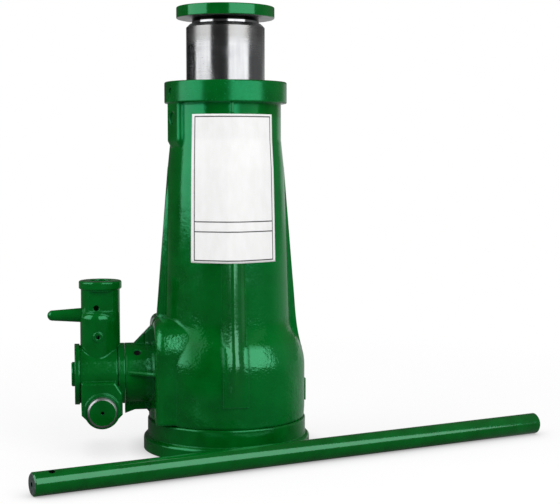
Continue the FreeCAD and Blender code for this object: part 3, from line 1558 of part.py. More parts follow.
def pawl():
    """Two-armed pawl that rocks about its pivot, with a tail in the shift pin's slot."""
    body = piece("pawl", "pinion_axis - pawl_drop")
    arm = pawl_arm()
    top = [(0, size("pawl_hub_radius"))]
    sketch = drawing(body, "YZ_Plane", "- head_middle")
    computed_outline(sketch, arm + top + [(-x, y) for x, y in reversed(arm)])
    pad(body, sketch, "pawl_width", both_ways=True)
    hole = drawing(body, "YZ_Plane", "- head_middle")
    circle(hole, "0", "0", "pawl_pivot_radius + fit_gap")
    pocket(body, hole, "pawl_width", both_ways=True)
    return body


def pawl_pivot_pin():
    """Pin of the pawl across the block."""
    inner = "- head_middle + block_half_width - pivot_pin_end"
    outer = "- head_middle - block_half_width + seat_gap"
    return turned("pawl_pivot_pin", [
        (inner, "0"),
        (inner, "pawl_pivot_radius"),
        (outer, "pawl_pivot_radius"),
        (outer, "0"),
    ], "H_Axis", "pinion_axis - pawl_drop")


def shift_pin():
    """Sliding pin that sets the direction: notched for the pawl, slotted for its tail and for the stop screw."""
    body = piece("shift_pin", "pinion_axis - pin_drop")
    bar = drawing(body, "XZ_Plane")
    circle(bar, "- head_middle", "0", "pin_radius")
    pad(body, bar, "pin_length", both_ways=True)
    for sign in (1, -1):
        end = sign * number("block_half_depth + pin_rise")
        soften(body, "Chamfer", "pin_chamfer",
               lambda edge, end=end: isinstance(edge.Curve, Part.Circle) and near(edge.Curve.Center.y, end))
    notch = drawing(body, "XZ_Plane")
    box_outline(notch, "- head_middle - pin_radius", "- head_middle + pin_radius", "- pin_floor", "pin_radius")
    pocket(body, notch, "pin_notch_length", both_ways=True)
    slot = drawing(body, "XZ_Plane")
    box_outline(slot, "- head_middle - pin_radius", "- head_middle + pin_radius", "- pin_slot_floor", "0")
    pocket(body, slot, "pin_slot_width", both_ways=True)
    stop = drawing(body, "YZ_Plane", "- head_middle - pin_radius")
    box_outline(stop, "stop_screw_place - shift_travel - stop_screw_dog_radius - fit_gap",
                "stop_screw_place + shift_travel + stop_screw_dog_radius + fit_gap",
                "- stop_screw_dog_radius - fit_gap", "stop_screw_dog_radius + fit_gap")
    pocket(body, stop, "stop_slot_depth", backwards=True)
    for start, backwards in (("block_half_depth + pin_rise", False), ("- block_half_depth - pin_rise", True)):
        mark = drawing(body, "XZ_Plane", start)
        circle(mark, "- head_middle", "0", "pin_mark_radius")
        pocket(body, mark, "pin_mark_depth", backwards=backwards)
    return body


def shift_stop_screw():
    """Dog-point screw that limits and guides the shift pin."""
    body = piece("shift_stop_screw", "pinion_axis - pin_drop")
    sketch = drawing(body, "XZ_Plane", "- stop_screw_place", None, "- head_middle")
    outline(sketch, [
        ("- block_half_width + stop_screw_inset", "0"),
        ("- block_half_width + stop_screw_inset", "stop_screw_radius"),
        ("- pin_radius - free_gap", "stop_screw_radius"),
        ("- pin_radius - free_gap", "stop_screw_dog_radius"),
        ("- pin_radius + stop_slot_depth - free_gap", "stop_screw_dog_radius"),
        ("- pin_radius + stop_slot_depth - free_gap", "0"),
    ])
    revolve(body, sketch, "H_Axis")
    return body


def handle_bar():
    """Loose round handle, lying before the foot, with a centre hole and a cross hole at one end."""
    end = "- handle_half_length"
    body = turned("handle_bar", [
        (end + " + handle_centre_hole_depth", "0"),
        (end + " + handle_centre_hole_depth", "handle_centre_hole_radius"),
        (end, "handle_centre_hole_radius"),
        (end, "handle_radius - handle_end_chamfer"),
        (end + " + handle_end_chamfer", "handle_radius"),
        ("handle_half_length - handle_end_chamfer", "handle_radius"),
        ("handle_half_length", "handle_radius - handle_end_chamfer"),
        ("handle_half_length", "0"),
    ], "H_Axis", "handle_radius")
    hole = drawing(body, "XZ_Plane", None, Rotation(Vector(1, 0, 0), -size("handle_hole_tilt")))
    circle(hole, end + " + handle_hole_place", "0", "handle_hole_radius")
    pocket(body, hole, "handle_radius + handle_radius", both_ways=True)
    body.Placement = Placement(ORIGIN, Rotation(Vector(0, 0, 1), size("handle_yaw")))
    tie(body, "Placement.Base.x", "handle_place_x")
    tie(body, "Placement.Base.y", "handle_place_y")
    return body


PIECES = (
    base_plate, base_screws, bearing_lower_race, bearing_upper_race, bearing_balls, ball_cage, pilot_bush,
    main_housing, pinion_bush, bush_lock_screw, guide_key, guide_key_screw, oil_screw, wiper_ring,
    lifting_sleeve, lifting_nut, nut_lock_screws, head_cap, cap_screw, lifting_screw, bevel_gear, gear_key,
    pinion_shaft, ratchet_wheel, wheel_key, wheel_ring, ratchet_head, head_cover, cover_screws, crank_peg,
    pawl, pawl_pivot_pin, shift_pin, shift_stop_screw, handle_bar,
)


def write_parts():
    """Builds every piece, checks the whole document, and writes one file per piece."""
    fill_sheet()
    bodies = [make() for make in PIECES]
    DOC.recompute()
    for thing in DOC.Objects:
        if "Invalid" in thing.State or "Error" in thing.State:
            raise ValueError("%s failed: %s" % (thing.Label, thing.State))
    for body in bodies:
        if body.Shape.isNull() or not body.Shape.isValid() or not body.Shape.Solids:
            raise ValueError("%s has no valid shape" % body.Label)
    os.makedirs("parts", exist_ok=True)
    for body in bodies:
        body.Shape.exportStep("parts/%s.step" % body.Label)
        print(body.Label, len(body.Shape.Solids), round(body.Shape.Volume))


write_parts()
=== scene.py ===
"""Looks of a green screw jack with its ratchet head and loose handle.

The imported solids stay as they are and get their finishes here. A blank sticker and a casting seam are added
to the column, with the floor, the lamps and the camera. Metres, Z up, origin at the centre of the foot.
"""
import json
import math

import bpy
import numpy as np
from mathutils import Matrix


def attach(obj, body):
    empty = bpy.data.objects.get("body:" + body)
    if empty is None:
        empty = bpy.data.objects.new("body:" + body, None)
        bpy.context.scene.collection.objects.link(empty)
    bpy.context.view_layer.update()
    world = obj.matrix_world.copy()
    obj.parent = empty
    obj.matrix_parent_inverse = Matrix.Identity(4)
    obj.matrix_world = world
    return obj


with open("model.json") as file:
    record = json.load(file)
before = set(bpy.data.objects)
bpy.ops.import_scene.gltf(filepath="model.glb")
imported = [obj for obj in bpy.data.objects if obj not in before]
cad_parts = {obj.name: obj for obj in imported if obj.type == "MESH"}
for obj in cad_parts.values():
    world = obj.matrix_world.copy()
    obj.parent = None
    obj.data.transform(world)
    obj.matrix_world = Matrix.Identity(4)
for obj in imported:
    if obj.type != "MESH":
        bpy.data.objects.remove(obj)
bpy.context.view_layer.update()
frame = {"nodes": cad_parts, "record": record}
NODES = frame["nodes"]

ORIGIN = (0.0, 0.0, 0.0)
UPRIGHT_AXIS = (ORIGIN, (0.0, 0.0, 1.0))

# The photograph's view: camera azimuth and pitch, its height, its distance from the jack's axis and how far
# it stands to the right of it, the lens for a 36 mm wide sensor, and the way to the picture's right
VIEW_AZIMUTH = math.radians(-9.0)
VIEW_PITCH = math.radians(4.3)
VIEW_HEIGHT = 0.215
VIEW_DISTANCE = 0.957
VIEW_ASIDE = 0.0395
LENS_MM = 84.15
SENSOR_MM = 36.0
VIEW_RIGHT = (math.cos(VIEW_AZIMUTH), math.sin(VIEW_AZIMUTH), 0.0)

# The two soft lamps: their distance from the jack's axis, and their low and high edges
SOFTBOX_DISTANCE = 1.0
SOFTBOX_HEIGHTS = (0.175, 1.70)

# The way from the jack to the white backdrop that its gloss shows, behind it and a little to the right
BACKDROP_TURN = VIEW_AZIMUTH - math.radians(18.0)
BACKDROP_WAY = (-math.sin(BACKDROP_TURN), math.cos(BACKDROP_TURN), 0.0)

# The studio's brightness: even light away from the backdrop and towards it; in gloss, on the left and right
# and at the backdrop's foot. A reach or rise gives where a brightness starts to change and where it has
# changed, as the share of a way that points to the backdrop, to the right or up
EVEN_LIGHT = (0.49, 0.98)
EVEN_REACH = (-0.1, 0.9)
GLOSS_LIGHT = (0.05, 0.15)
GLOSS_REACH = (0.1, 0.8)
BACKDROP_LIGHT = 0.6
BACKDROP_RISE = (0.05, 0.09)
BACKDROP_REACH = (0.88, 0.96)

# The floor: half its side; the distances from the axis between which its shadow fades out, and its share of
# plain white at each; its share of glow in gloss, and how bright that is in front and towards the backdrop;
# how far the painted shadow in its glow reaches under the jack, and how bright it is there by how open it is
FLOOR_HALF_SIDE = 4.0
SHADOW_FADE = (0.15, 0.6)
FLOOR_WHITENESS = (0.74, 1.0)
FLOOR_GLOSS_SHARE = 0.95
FLOOR_GLOSS_REACH = (0.3, 0.95)
FLOOR_GLOSS_LIGHT = (0.06, 0.4)
CONTACT_SHADOW_DISTANCE = 0.025
CONTACT_SHADOW_OPENNESS = (0.1, 0.95)
CONTACT_SHADOW_LIGHT = (0.45, 1.0)

# The column's wall and its front rib: radii at the heights where the outline bends, the radius of the
# rounded corners of the rib's crest, and half the flat between them
WALL_HEIGHTS = (0.0930, 0.2050, 0.2250, 0.2510)
WALL_RADII = (0.0469, 0.0423, 0.0402, 0.0402)
RIB_HEIGHTS = (0.0972, 0.2050)
RIB_CRESTS = (0.0511, 0.0423)
RIB_CORNER = 0.0050
RIB_FLAT = 0.0034

# The sticker: its foot and top, half its width there, how far it is off the middle, how far its border line
# is set in at the sides and ends, the lines' width, the heights of its rules, how far it stands out and is
# let in, and its grid's columns and rows
STICKER_HEIGHTS = (0.1384, 0.2427)
STICKER_HALF_WIDTHS = (0.0339, 0.0315)
STICKER_SHIFT = 0.0017
STICKER_SIDE_BORDER = 0.0027
STICKER_END_BORDER = 0.0018
STICKER_LINE = 0.0008
STICKER_RULES = (0.1603, 0.1673)
STICKER_THICKNESS = 0.0002
STICKER_LET_IN = 0.0001
STICKER_GRID = (73, 60)

# The casting seam: its foot and top, half its width, its rise from edge to middle, how deep its edges and
# its back lie in the wall, and its grid's columns and rows
SEAM_HEIGHTS = (0.2430, 0.2512)
SEAM_HALF_WIDTH = 0.0013
SEAM_RISE = 0.0007
SEAM_EDGE_DEPTH = 0.0002
SEAM_BACK_DEPTH = 0.0006
SEAM_GRID = (13, 12)

# How far paint rounds an edge of the large casting, of a small casting and of a turned piece
HOUSING_EDGE = 0.0030
CAST_EDGE = 0.0012
TURNED_EDGE = 0.0005

# Depth of the paint's ripples and of its orange peel, and its least and most roughness
RIPPLE_DEPTH = 0.0007
PEEL_DEPTH = 0.00024
PAINT_ROUGHNESS = (0.09, 0.15)

# How wide the painted highlight along a casting's edge is, how much of its lighter green shows there, and the
# cosines of the edge's turn between which it fades out
EDGE_HIGHLIGHT_WIDTH = 0.0007
EDGE_HIGHLIGHT_SHARE = 0.6
EDGE_HIGHLIGHT_TURNS = (0.82, 0.97)

# Half the width over which paint rounds a rib, and how far it stands up at the crest
RIB_HALF_WIDTH = 0.0080
RIB_CROWN = 0.0034

# Edges on the main casting where its paint changes, each a place and how softly it fades there: heights for
# a low edge, a top or a foot, X for a side, left or right, and a radius for the ribs' outside
RIB_LOW = (0.0400, 0.0140)
RIB_TOP = (0.1900, 0.0140)
RIB_OUTSIDE = (0.0605, 0.0005)
STRIP_STEP_LOW = (0.0373, 0.0005)
STRIP_STEP_TOP = (0.0397, 0.0005)
STRIP_SIDE = (0.0100, 0.0005)
COVE_LOW = (0.0800, 0.0025)
COVE_TOP = (0.0945, 0.0025)
COVE_SIDE = (0.0080, 0.0015)
DOME_LOW = (0.0480, 0.0040)
DOME_LEFT = (-0.0340, 0.0045)
DOME_RIGHT = (-0.0085, 0.0015)
BOSS_SIDE = (-0.0600, 0.0005)
BOSS_SMOOTH_SIDE = (-0.0600, 0.0010)
NECK_LOW = (0.2410, 0.0010)
NECK_TOP = (0.2505, 0.0005)
NECK_SIDE = (0.0040, 0.0020)
LIT_RIGHT_TOP = (0.2410, 0.0030)
COLUMN_FOOT = (0.1350, 0.0060)
COLLAR_FOOT = (0.2510, 0.0005)

# How dull the casting's paint is left of the strip, on the pinion boss and under the collar
DOME_DULLNESS = 0.85
BOSS_DULLNESS = 0.75
NECK_DULLNESS = 0.80

# The casting's grain on the collar, the ribs, the column and the pinion boss, as a share of the dome's; the
# heights between which it goes over to the column's; and how much rougher the collar's gloss is
COLLAR_GRAIN = 0.16
RIB_GRAIN = 0.30
COLUMN_GRAIN = 0.22
BOSS_GRAIN = 0.25
COLUMN_GRAIN_HEIGHTS = (0.0905, 0.1105)
COLLAR_ROUGHER = 1.9

# The same share on small castings, on the handle, on the load cap and on the ends of the shaft and shift pin
CAST_GRAIN = 0.30
HANDLE_GRAIN = 0.25
CAP_GRAIN = 0.12
END_GRAIN = 0.30

# Where the casting's green goes over from left to right to a lighter green, painted light as if more light
# fell on the right, and how much of that shows
LIT_RIGHT_SIDES = (-0.0100, 0.0300)
LIT_RIGHT_SHARE = 0.5

# Places on the other solids where a finish changes, with a softness where there is one
CAP_BARE_TOP = 0.3123
CAP_NECK_RADIUS = 0.0245
# Where the neck's painted shade under the cap begins, and its softness
CAP_NECK_SHADE_FOOT = (0.3098, 0.0002)
PIN_AXIS = ((-0.0917, 0.0, 0.0331), (0.0, 1.0, 0.0))
PIN_END = 0.0349
PIN_PAINT_RADIUS = 0.0092
PIN_MARK_RADIUS = (0.0013, 0.0003)
SHAFT_PAINT_END = -0.1105
SLEEVE_DARK_TOP_FOOT = (0.2955, 0.0030)

# The handle where it lies: its middle, its turn and the way it points, how far from its middle its sawn ends
# are, its cross hole's place along it, tilt from level and radius, and the radius of its end's centre hole
HANDLE_MIDDLE = (0.0506, -0.0626, 0.00775)
HANDLE_YAW = math.radians(19.2)
HANDLE_WAY = (math.cos(HANDLE_YAW), math.sin(HANDLE_YAW), 0.0)
HANDLE_END = 0.1996
HANDLE_HOLE_PLACE = -0.1875
HANDLE_HOLE_TILT = math.radians(75.0)
HANDLE_HOLE_RADIUS = 0.0022
HANDLE_CENTRE_RADIUS = 0.0017

# Roughness of bare turned steel, of the cap's underside, of the pin's ground side and of a sawn end
TURNED_ROUGHNESS = 0.12
UNDERSIDE_ROUGHNESS = 0.28
PIN_ROUGHNESS = 0.4
SAWN_ROUGHNESS = 0.5

# Softness of an edge that shows as a clean line, and the range in which most of a noise lies
CLEAN_EDGE = 0.00005
NOISE_LOW = 0.3
NOISE_HIGH = 0.7


def srgb(red, green, blue):
    """A display colour of 0 to 255 as linear light: a straight foot below 4% and a power of 2.4 above it."""
    parts = np.array([red, green, blue]) / 255.0
    linear = np.where(parts <= 0.04045, parts / 12.92, ((parts + 0.055) / 1.055) ** 2.4)
    return (*linear.tolist(), 1.0)


WHITE = (1.0, 1.0, 1.0, 1.0)
PAINT_DARK = srgb(0, 78, 16)
PAINT_LIGHT = srgb(0, 96, 27)
# Painted light: a lighter green for the casting's right side
PAINT_LIT_RIGHT = srgb(0, 112, 42)
# Painted highlight: a lighter green along edges
PAINT_EDGE_HIGHLIGHT = srgb(46, 132, 80)
# Painted shade: near black under the load cap and in the shift pin's centre marks
SHADE_DARK = srgb(10, 12, 10)
# Painted shade: near black inside the handle's holes
HOLE_SHADE_DARK = srgb(8, 10, 8)
STEEL_LIGHT = srgb(200, 201, 203)
STEEL_DIM = srgb(160, 161, 164)

# Tints of the paint's reflections: plain, on the column, on the handle, on a rib's crest and where dull
PAINT_GLOSS = (0.20, 1.0, 0.52, 1.0)
COLUMN_GLOSS = (0.08, 0.8, 0.38, 1.0)
HANDLE_GLOSS = (0.10, 1.0, 0.48, 1.0)
RIB_GLOSS = (0.40, 1.0, 0.68, 1.0)
DULL_GLOSS = (0.01, 0.08, 0.03, 1.0)


class Nodes:
    """A node tree with helpers that add and join nodes."""

    def __init__(self, tree, coords):
        self.tree = tree
        self.coords = self.add("ShaderNodeTexCoord").outputs[coords]

    def add(self, kind, settings=None, **sockets):
        """A node with its settings, and its sockets set to a value or joined to another node's output."""
        node = self.tree.nodes.new(kind)
        for key, value in (settings or {}).items():
            setattr(node, key, value)
        for key, value in sockets.items():
            self.feed(node.inputs[key.replace("_", " ")], value)
        return node

    def feed(self, socket, value):
        """Joins an output to a socket, or sets the socket's own value."""
        if isinstance(value, bpy.types.NodeSocket):
            self.tree.links.new(value, socket)
        else:
            socket.default_value = value

    def span(self, value, low, high, first, last):
        """A number that goes from first to last while the value goes from low to high, and stays there."""
        node = self.add("ShaderNodeMapRange")
        for index, number in enumerate((value, low, high, first, last)):
            self.feed(node.inputs[index], number)
        return node.outputs["Result"]

    def between(self, mask, first, last):
        """First where the mask is nought, last where it is one, and a blend of them where it fades."""
        return self.span(mask, 0.0, 1.0, first, last)

    def above(self, value, edge, soft=CLEAN_EDGE):
        """One where the value is over the edge and nought under it."""
        return self.span(value, edge - soft, edge + soft, 0.0, 1.0)

    def below(self, value, edge, soft=CLEAN_EDGE):
        """One where the value is under the edge and nought over it."""
        return self.span(value, edge - soft, edge + soft, 1.0, 0.0)

    def within(self, value, low, high):
        """One between two edges, each a place with its softness, and nought outside them."""
        return self.math("MULTIPLY", self.above(value, *low), self.below(value, *high))

    def math(self, operation, first, *others):
        """One kind of sum on a number, or on several numbers in turn."""
        for other in others or (0.0,):
            node = self.add("ShaderNodeMath", {"operation": operation})
            self.feed(node.inputs[0], first)
            self.feed(node.inputs[1], other)
            first = node.outputs["Value"]
        return first

    def vectors(self, operation, first, second, output="Vector"):
        """One sum of two vectors."""
        node = self.add("ShaderNodeVectorMath", {"operation": operation})
        self.feed(node.inputs[0], first)
        self.feed(node.inputs[1], second)
        return node.outputs[output]

    def axis(self, letter):
        """One coordinate of the surface point."""
        return self.add("ShaderNodeSeparateXYZ", None, Vector=self.coords).outputs[letter]

    def aside(self, letter):
        """How far the surface point lies from nought along one coordinate, either way."""
        return self.math("ABSOLUTE", self.axis(letter))

    def along(self, start, direction):
        """How far the surface point lies from a start along a direction."""
        return self.vectors("DOT_PRODUCT", self.vectors("SUBTRACT", self.coords, start), direction, "Value")

    def off_line(self, start, direction):
        """Distance of the surface point from a line.

        It is the length of the cross product of the point's way from the start with the line's direction.
        """
        turned = self.vectors("CROSS_PRODUCT", self.vectors("SUBTRACT", self.coords, start), direction)
        return self.vectors("LENGTH", turned, ORIGIN, "Value")

    def rays(self):
        """One for rays from the camera or through glass, and one for rays off gloss."""
        path = self.add("ShaderNodeLightPath").outputs
        seen = self.math("MAXIMUM", path["Is Camera Ray"], path["Is Transmission Ray"])
        return seen, path["Is Glossy Ray"]


class Finish(Nodes):
    """A material with a Principled shader, on the piece's own coordinates."""

    def __init__(self, name, coords="Object"):
        self.material = bpy.data.materials.new(name)
        self.material.use_nodes = True
        super().__init__(self.material.node_tree, coords)
        self.shader = self.tree.nodes["Principled BSDF"]

    def set(self, **sockets):
        """Sets the shader's own sockets."""
        for key, value in sockets.items():
            self.feed(self.shader.inputs[key.replace("_", " ")], value)

    def noise(self, scale, detail, stretch=None):
        """Noise with so many grains per metre, drawn out along an axis where a stretch is given."""
        vector = self.coords
        if stretch:
            vector = self.add("ShaderNodeMapping", None, Vector=self.coords, Scale=stretch).outputs["Vector"]
        return self.add("ShaderNodeTexNoise", None, Vector=vector, Scale=scale, Detail=detail).outputs["Fac"]

    def vary(self, noise, first, last):
        """A number that goes from first to last with a noise."""
        return self.span(noise, NOISE_LOW, NOISE_HIGH, first, last)

    def shades(self, noise, first, last, high=NOISE_HIGH):
        """A colour that goes from first to last with a noise."""
        node = self.add("ShaderNodeValToRGB", None, Fac=noise)
        for stop, place, colour in zip(node.color_ramp.elements, (NOISE_LOW, high), (first, last)):
            stop.position = place
            stop.color = colour
        return node.outputs["Color"]

    def mix(self, factor, first, second):
        """A blend of two colours."""
        node = self.add("ShaderNodeMix", {"data_type": "RGBA"})
        for index, value in zip((0, 6, 7), (factor, first, second)):
            self.feed(node.inputs[index], value)
        return node.outputs[2]

    def blend(self, factor, first, second):
        """A blend of two vectors."""
        node = self.add("ShaderNodeMix", {"data_type": "VECTOR"})
        for index, value in zip((0, 4, 5), (factor, first, second)):
            self.feed(node.inputs[index], value)
        return node.outputs[1]

    def bump(self, height, strength, distance, normal=None):
        """A bump of the given depth in metres, on top of another one where there is one."""
        node = self.add("ShaderNodeBump", None, Height=height, Strength=strength, Distance=distance)
        if normal:
            self.feed(node.inputs["Normal"], normal)
        return node.outputs["Normal"]


def soft_edges(finish, radius):
    """Edges rounded off by thick paint."""
    return finish.add("ShaderNodeBevel", {"samples": 6}, Radius=radius).outputs["Normal"]


def paint_coat(finish, grain, form):
    """Colour, bump and gloss of thick green paint: slow ripples and orange peel over the form's normal."""
    ripple = finish.noise(60.0, 2.0)
    peel = finish.noise(560.0, 3.0)
    colour = finish.shades(ripple, PAINT_DARK, PAINT_LIGHT)
    waves = finish.bump(ripple, grain, RIPPLE_DEPTH, form)
    normal = finish.bump(peel, grain, PEEL_DEPTH, waves)
    return colour, normal, finish.vary(peel, *PAINT_ROUGHNESS)


def edge_highlight(finish, colour):
    """The paint's colour, lighter along an edge as a painted highlight where the edge would catch light.

    An edge is where the normal, rounded over a short way, turns from the face's own.
    """
    face = finish.add("ShaderNodeNewGeometry").outputs["Normal"]
    turned = finish.vectors("DOT_PRODUCT", soft_edges(finish, EDGE_HIGHLIGHT_WIDTH), face, "Value")
    # Painted highlight: lighter green where the edge turns
    return finish.mix(finish.span(turned, *EDGE_HIGHLIGHT_TURNS, EDGE_HIGHLIGHT_SHARE, 0.0), colour, PAINT_EDGE_HIGHLIGHT)


def rib_hump(finish):
    """One on the crests of the casting's four ribs and nought beside them.

    Across a rib it is a raised cosine of the nearer of X and Y, and it fades out at the rib's ends.
    """
    side = finish.math("MINIMUM", finish.aside("X"), finish.aside("Y"))
    wave = finish.math("COSINE", finish.span(side, 0.0, RIB_HALF_WIDTH, 0.0, math.pi))
    return finish.math("MULTIPLY", finish.span(wave, -1.0, 1.0, 0.0, 1.0),
                       finish.within(finish.axis("Z"), RIB_LOW, RIB_TOP),
                       finish.below(finish.off_line(*UPRIGHT_AXIS), *RIB_OUTSIDE))


def strip_end(finish):
    """The low step at the foot of the front strip, which the paint fills."""
    return finish.math("MULTIPLY", finish.within(finish.axis("Z"), STRIP_STEP_LOW, STRIP_STEP_TOP),
                       finish.below(finish.axis("Y"), 0.0), finish.below(finish.aside("X"), *STRIP_SIDE))


def upright_wall(finish):
    """The normal of a round upright wall: the point's way from the axis, at a length of one."""
    level = finish.vectors("MULTIPLY", finish.coords, (1.0, 1.0, 0.0))
    return finish.vectors("NORMALIZE", level, ORIGIN)


def dull_paint(finish):
    """How dull the casting's paint is.

    It is dull on the right in the cove and under the collar, left of the strip on the dome, and on the
    pinion boss.
    """
    height = finish.axis("Z")
    side = finish.axis("X")
    cove = finish.math("MULTIPLY", finish.within(height, COVE_LOW, COVE_TOP), finish.above(side, *COVE_SIDE))
    dome = finish.math("MULTIPLY", finish.within(height, DOME_LOW, COVE_TOP),
                       finish.within(side, DOME_LEFT, DOME_RIGHT), DOME_DULLNESS)
    boss = finish.math("MULTIPLY", finish.below(side, *BOSS_SIDE), BOSS_DULLNESS)
    neck = finish.math("MULTIPLY", finish.within(height, NECK_LOW, NECK_TOP), finish.above(side, *NECK_SIDE),
                       NECK_DULLNESS)
    return finish.math("MAXIMUM", cove, dome, boss, neck)


def housing_paint():
    """Gloss green on the main casting.

    Its ribs are rounded, some places dull and its collar smoother; a painted highlight runs along its edges,
    and its right side is painted a lighter green as if more light fell there.
    """
    finish = Finish("housing_green_paint")
    height = finish.axis("Z")
    side = finish.axis("X")
    collar = finish.above(height, *COLLAR_FOOT)
    hump = rib_hump(finish)
    edges = soft_edges(finish, finish.between(collar, HOUSING_EDGE, CAST_EDGE))
    form = finish.blend(strip_end(finish), edges, upright_wall(finish))
    grain = finish.math("MULTIPLY", finish.between(collar, 1.0, COLLAR_GRAIN),
                        finish.between(hump, 1.0, RIB_GRAIN),
                        finish.span(height, *COLUMN_GRAIN_HEIGHTS, 1.0, COLUMN_GRAIN),
                        finish.between(finish.below(side, *BOSS_SMOOTH_SIDE), 1.0, BOSS_GRAIN))
    colour, normal, peel = paint_coat(finish, grain, finish.bump(hump, 1.0, RIB_CROWN, form))
    gloss = finish.math("MULTIPLY", peel, finish.between(collar, 1.0, COLLAR_ROUGHER))
    # Painted light: lighter green towards the right, below the neck, as if more light fell there
    lit_right = finish.math("MULTIPLY", finish.span(side, *LIT_RIGHT_SIDES, 0.0, LIT_RIGHT_SHARE),
                        finish.below(height, *LIT_RIGHT_TOP))
    # Painted highlight along the edges over that
    colour = edge_highlight(finish, finish.mix(lit_right, colour, PAINT_LIT_RIGHT))
    tint = finish.mix(finish.below(height, *COLUMN_FOOT), COLUMN_GLOSS, PAINT_GLOSS)
    tint = finish.mix(hump, finish.mix(dull_paint(finish), tint, DULL_GLOSS), RIB_GLOSS)
    finish.set(Base_Color=colour, Roughness=gloss, Normal=normal, IOR=1.7, Specular_IOR_Level=1.0,
               Specular_Tint=tint)
    return finish.material


def cast_paint():
    """Gloss green over a plain casting, with a painted highlight along its edges."""
    finish = Finish("cast_green_paint")
    colour, normal, gloss = paint_coat(finish, CAST_GRAIN, soft_edges(finish, CAST_EDGE))
    # The base colour carries the painted highlight along the edges
    finish.set(Base_Color=edge_highlight(finish, colour), Roughness=gloss, Normal=normal, IOR=1.6,
               Specular_IOR_Level=1.0, Specular_Tint=PAINT_GLOSS)
    return finish.material


def part_painted(name, grain, bare, mark=None, dull=None, rough=TURNED_ROUGHNESS):
    """Smooth green paint with places left as bare steel, and painted dark shade and a dull place where given.
    """
    finish = Finish(name)
    colour, normal, peel = paint_coat(finish, grain, soft_edges(finish, TURNED_EDGE))
    steel_bare = bare(finish)
    gloss = finish.between(steel_bare, peel, rough)
    if dull:
        gloss = finish.math("MAXIMUM", gloss, finish.math("MULTIPLY", dull(finish), UNDERSIDE_ROUGHNESS))
    cloud = finish.noise(140.0, 4.0)
    colour = finish.mix(steel_bare, colour, finish.shades(cloud, STEEL_DIM, STEEL_LIGHT))
    # Painted shade where a mask is given, as under the load cap and in the shift pin's centre marks
    if mark:
        colour = finish.mix(mark(finish), colour, SHADE_DARK)
    finish.set(Base_Color=colour, Metallic=steel_bare, Roughness=gloss, Normal=normal, IOR=1.6,
               Specular_IOR_Level=1.0, Specular_Tint=finish.mix(steel_bare, PAINT_GLOSS, WHITE))
    return finish.material


def cap_bare(finish):
    """The load cap's turned underside and neck."""
    return finish.below(finish.axis("Z"), CAP_BARE_TOP)


def cap_neck_shade(finish):
    """The upper part of the load cap's neck, close under the cap, painted dark as shade."""
    on_neck = finish.below(finish.off_line(*UPRIGHT_AXIS), CAP_NECK_RADIUS)
    return finish.math("MULTIPLY", on_neck, finish.above(finish.axis("Z"), *CAP_NECK_SHADE_FOOT))


def cap_underside(finish):
    """The flat of the load cap round its neck."""
    off_neck = finish.above(finish.off_line(*UPRIGHT_AXIS), CAP_NECK_RADIUS)
    return finish.math("MULTIPLY", cap_bare(finish), off_neck)


def shaft_bare(finish):
    """All of the shaft but its outer end."""
    return finish.above(finish.axis("X"), SHAFT_PAINT_END)


def pin_bare(finish):
    """All of the shift pin but its two end faces inside their bevels."""
    on_end = finish.above(finish.aside("Y"), PIN_END)
    inside = finish.below(finish.off_line(*PIN_AXIS), PIN_PAINT_RADIUS)
    return finish.math("SUBTRACT", 1.0, finish.math("MULTIPLY", on_end, inside))


def pin_mark_shade(finish):
    """The centre mark in the shift pin's ends, its hollow painted dark as shade."""
    return finish.below(finish.off_line(*PIN_AXIS), *PIN_MARK_RADIUS)


def handle_cut(finish):
    """The two sawn ends of the handle bar."""
    return finish.above(finish.math("ABSOLUTE", finish.along(HANDLE_MIDDLE, HANDLE_WAY)), HANDLE_END)


def handle_hole_shade(finish):
    """The insides of the handle's cross hole and of the centre hole in its end, painted dark as shade."""
    middle = tuple(start + HANDLE_HOLE_PLACE * way for start, way in zip(HANDLE_MIDDLE, HANDLE_WAY))
    lean = math.cos(HANDLE_HOLE_TILT)
    axis = (lean * HANDLE_WAY[1], -lean * HANDLE_WAY[0], math.sin(HANDLE_HOLE_TILT))
    across = finish.below(finish.off_line(middle, axis), HANDLE_HOLE_RADIUS)
    centre = finish.below(finish.off_line(HANDLE_MIDDLE, HANDLE_WAY), HANDLE_CENTRE_RADIUS)
    return finish.math("MAXIMUM", across, centre)


def handle_paint():
    """Smooth green on the bar under a clear coat, with its sawn ends left dark and painted shade inside its
    holes.
    """
    finish = Finish("handle_green_paint")
    colour, normal, gloss = paint_coat(finish, HANDLE_GRAIN, soft_edges(finish, TURNED_EDGE))
    cut = handle_cut(finish)
    saw_marks = finish.noise(900.0, 3.0)
    colour = finish.mix(cut, colour, finish.shades(saw_marks, srgb(44, 45, 48), srgb(92, 93, 97)))
    # Painted shade inside the holes
    colour = finish.mix(handle_hole_shade(finish), colour, HOLE_SHADE_DARK)
    rough = finish.math("MAXIMUM", gloss, finish.math("MULTIPLY", cut, SAWN_ROUGHNESS))
    finish.set(Base_Color=colour, Roughness=rough, Normal=normal, IOR=1.5, Specular_IOR_Level=1.0,
               Specular_Tint=HANDLE_GLOSS, Coat_Weight=0.8, Coat_Roughness=0.08)
    return finish.material


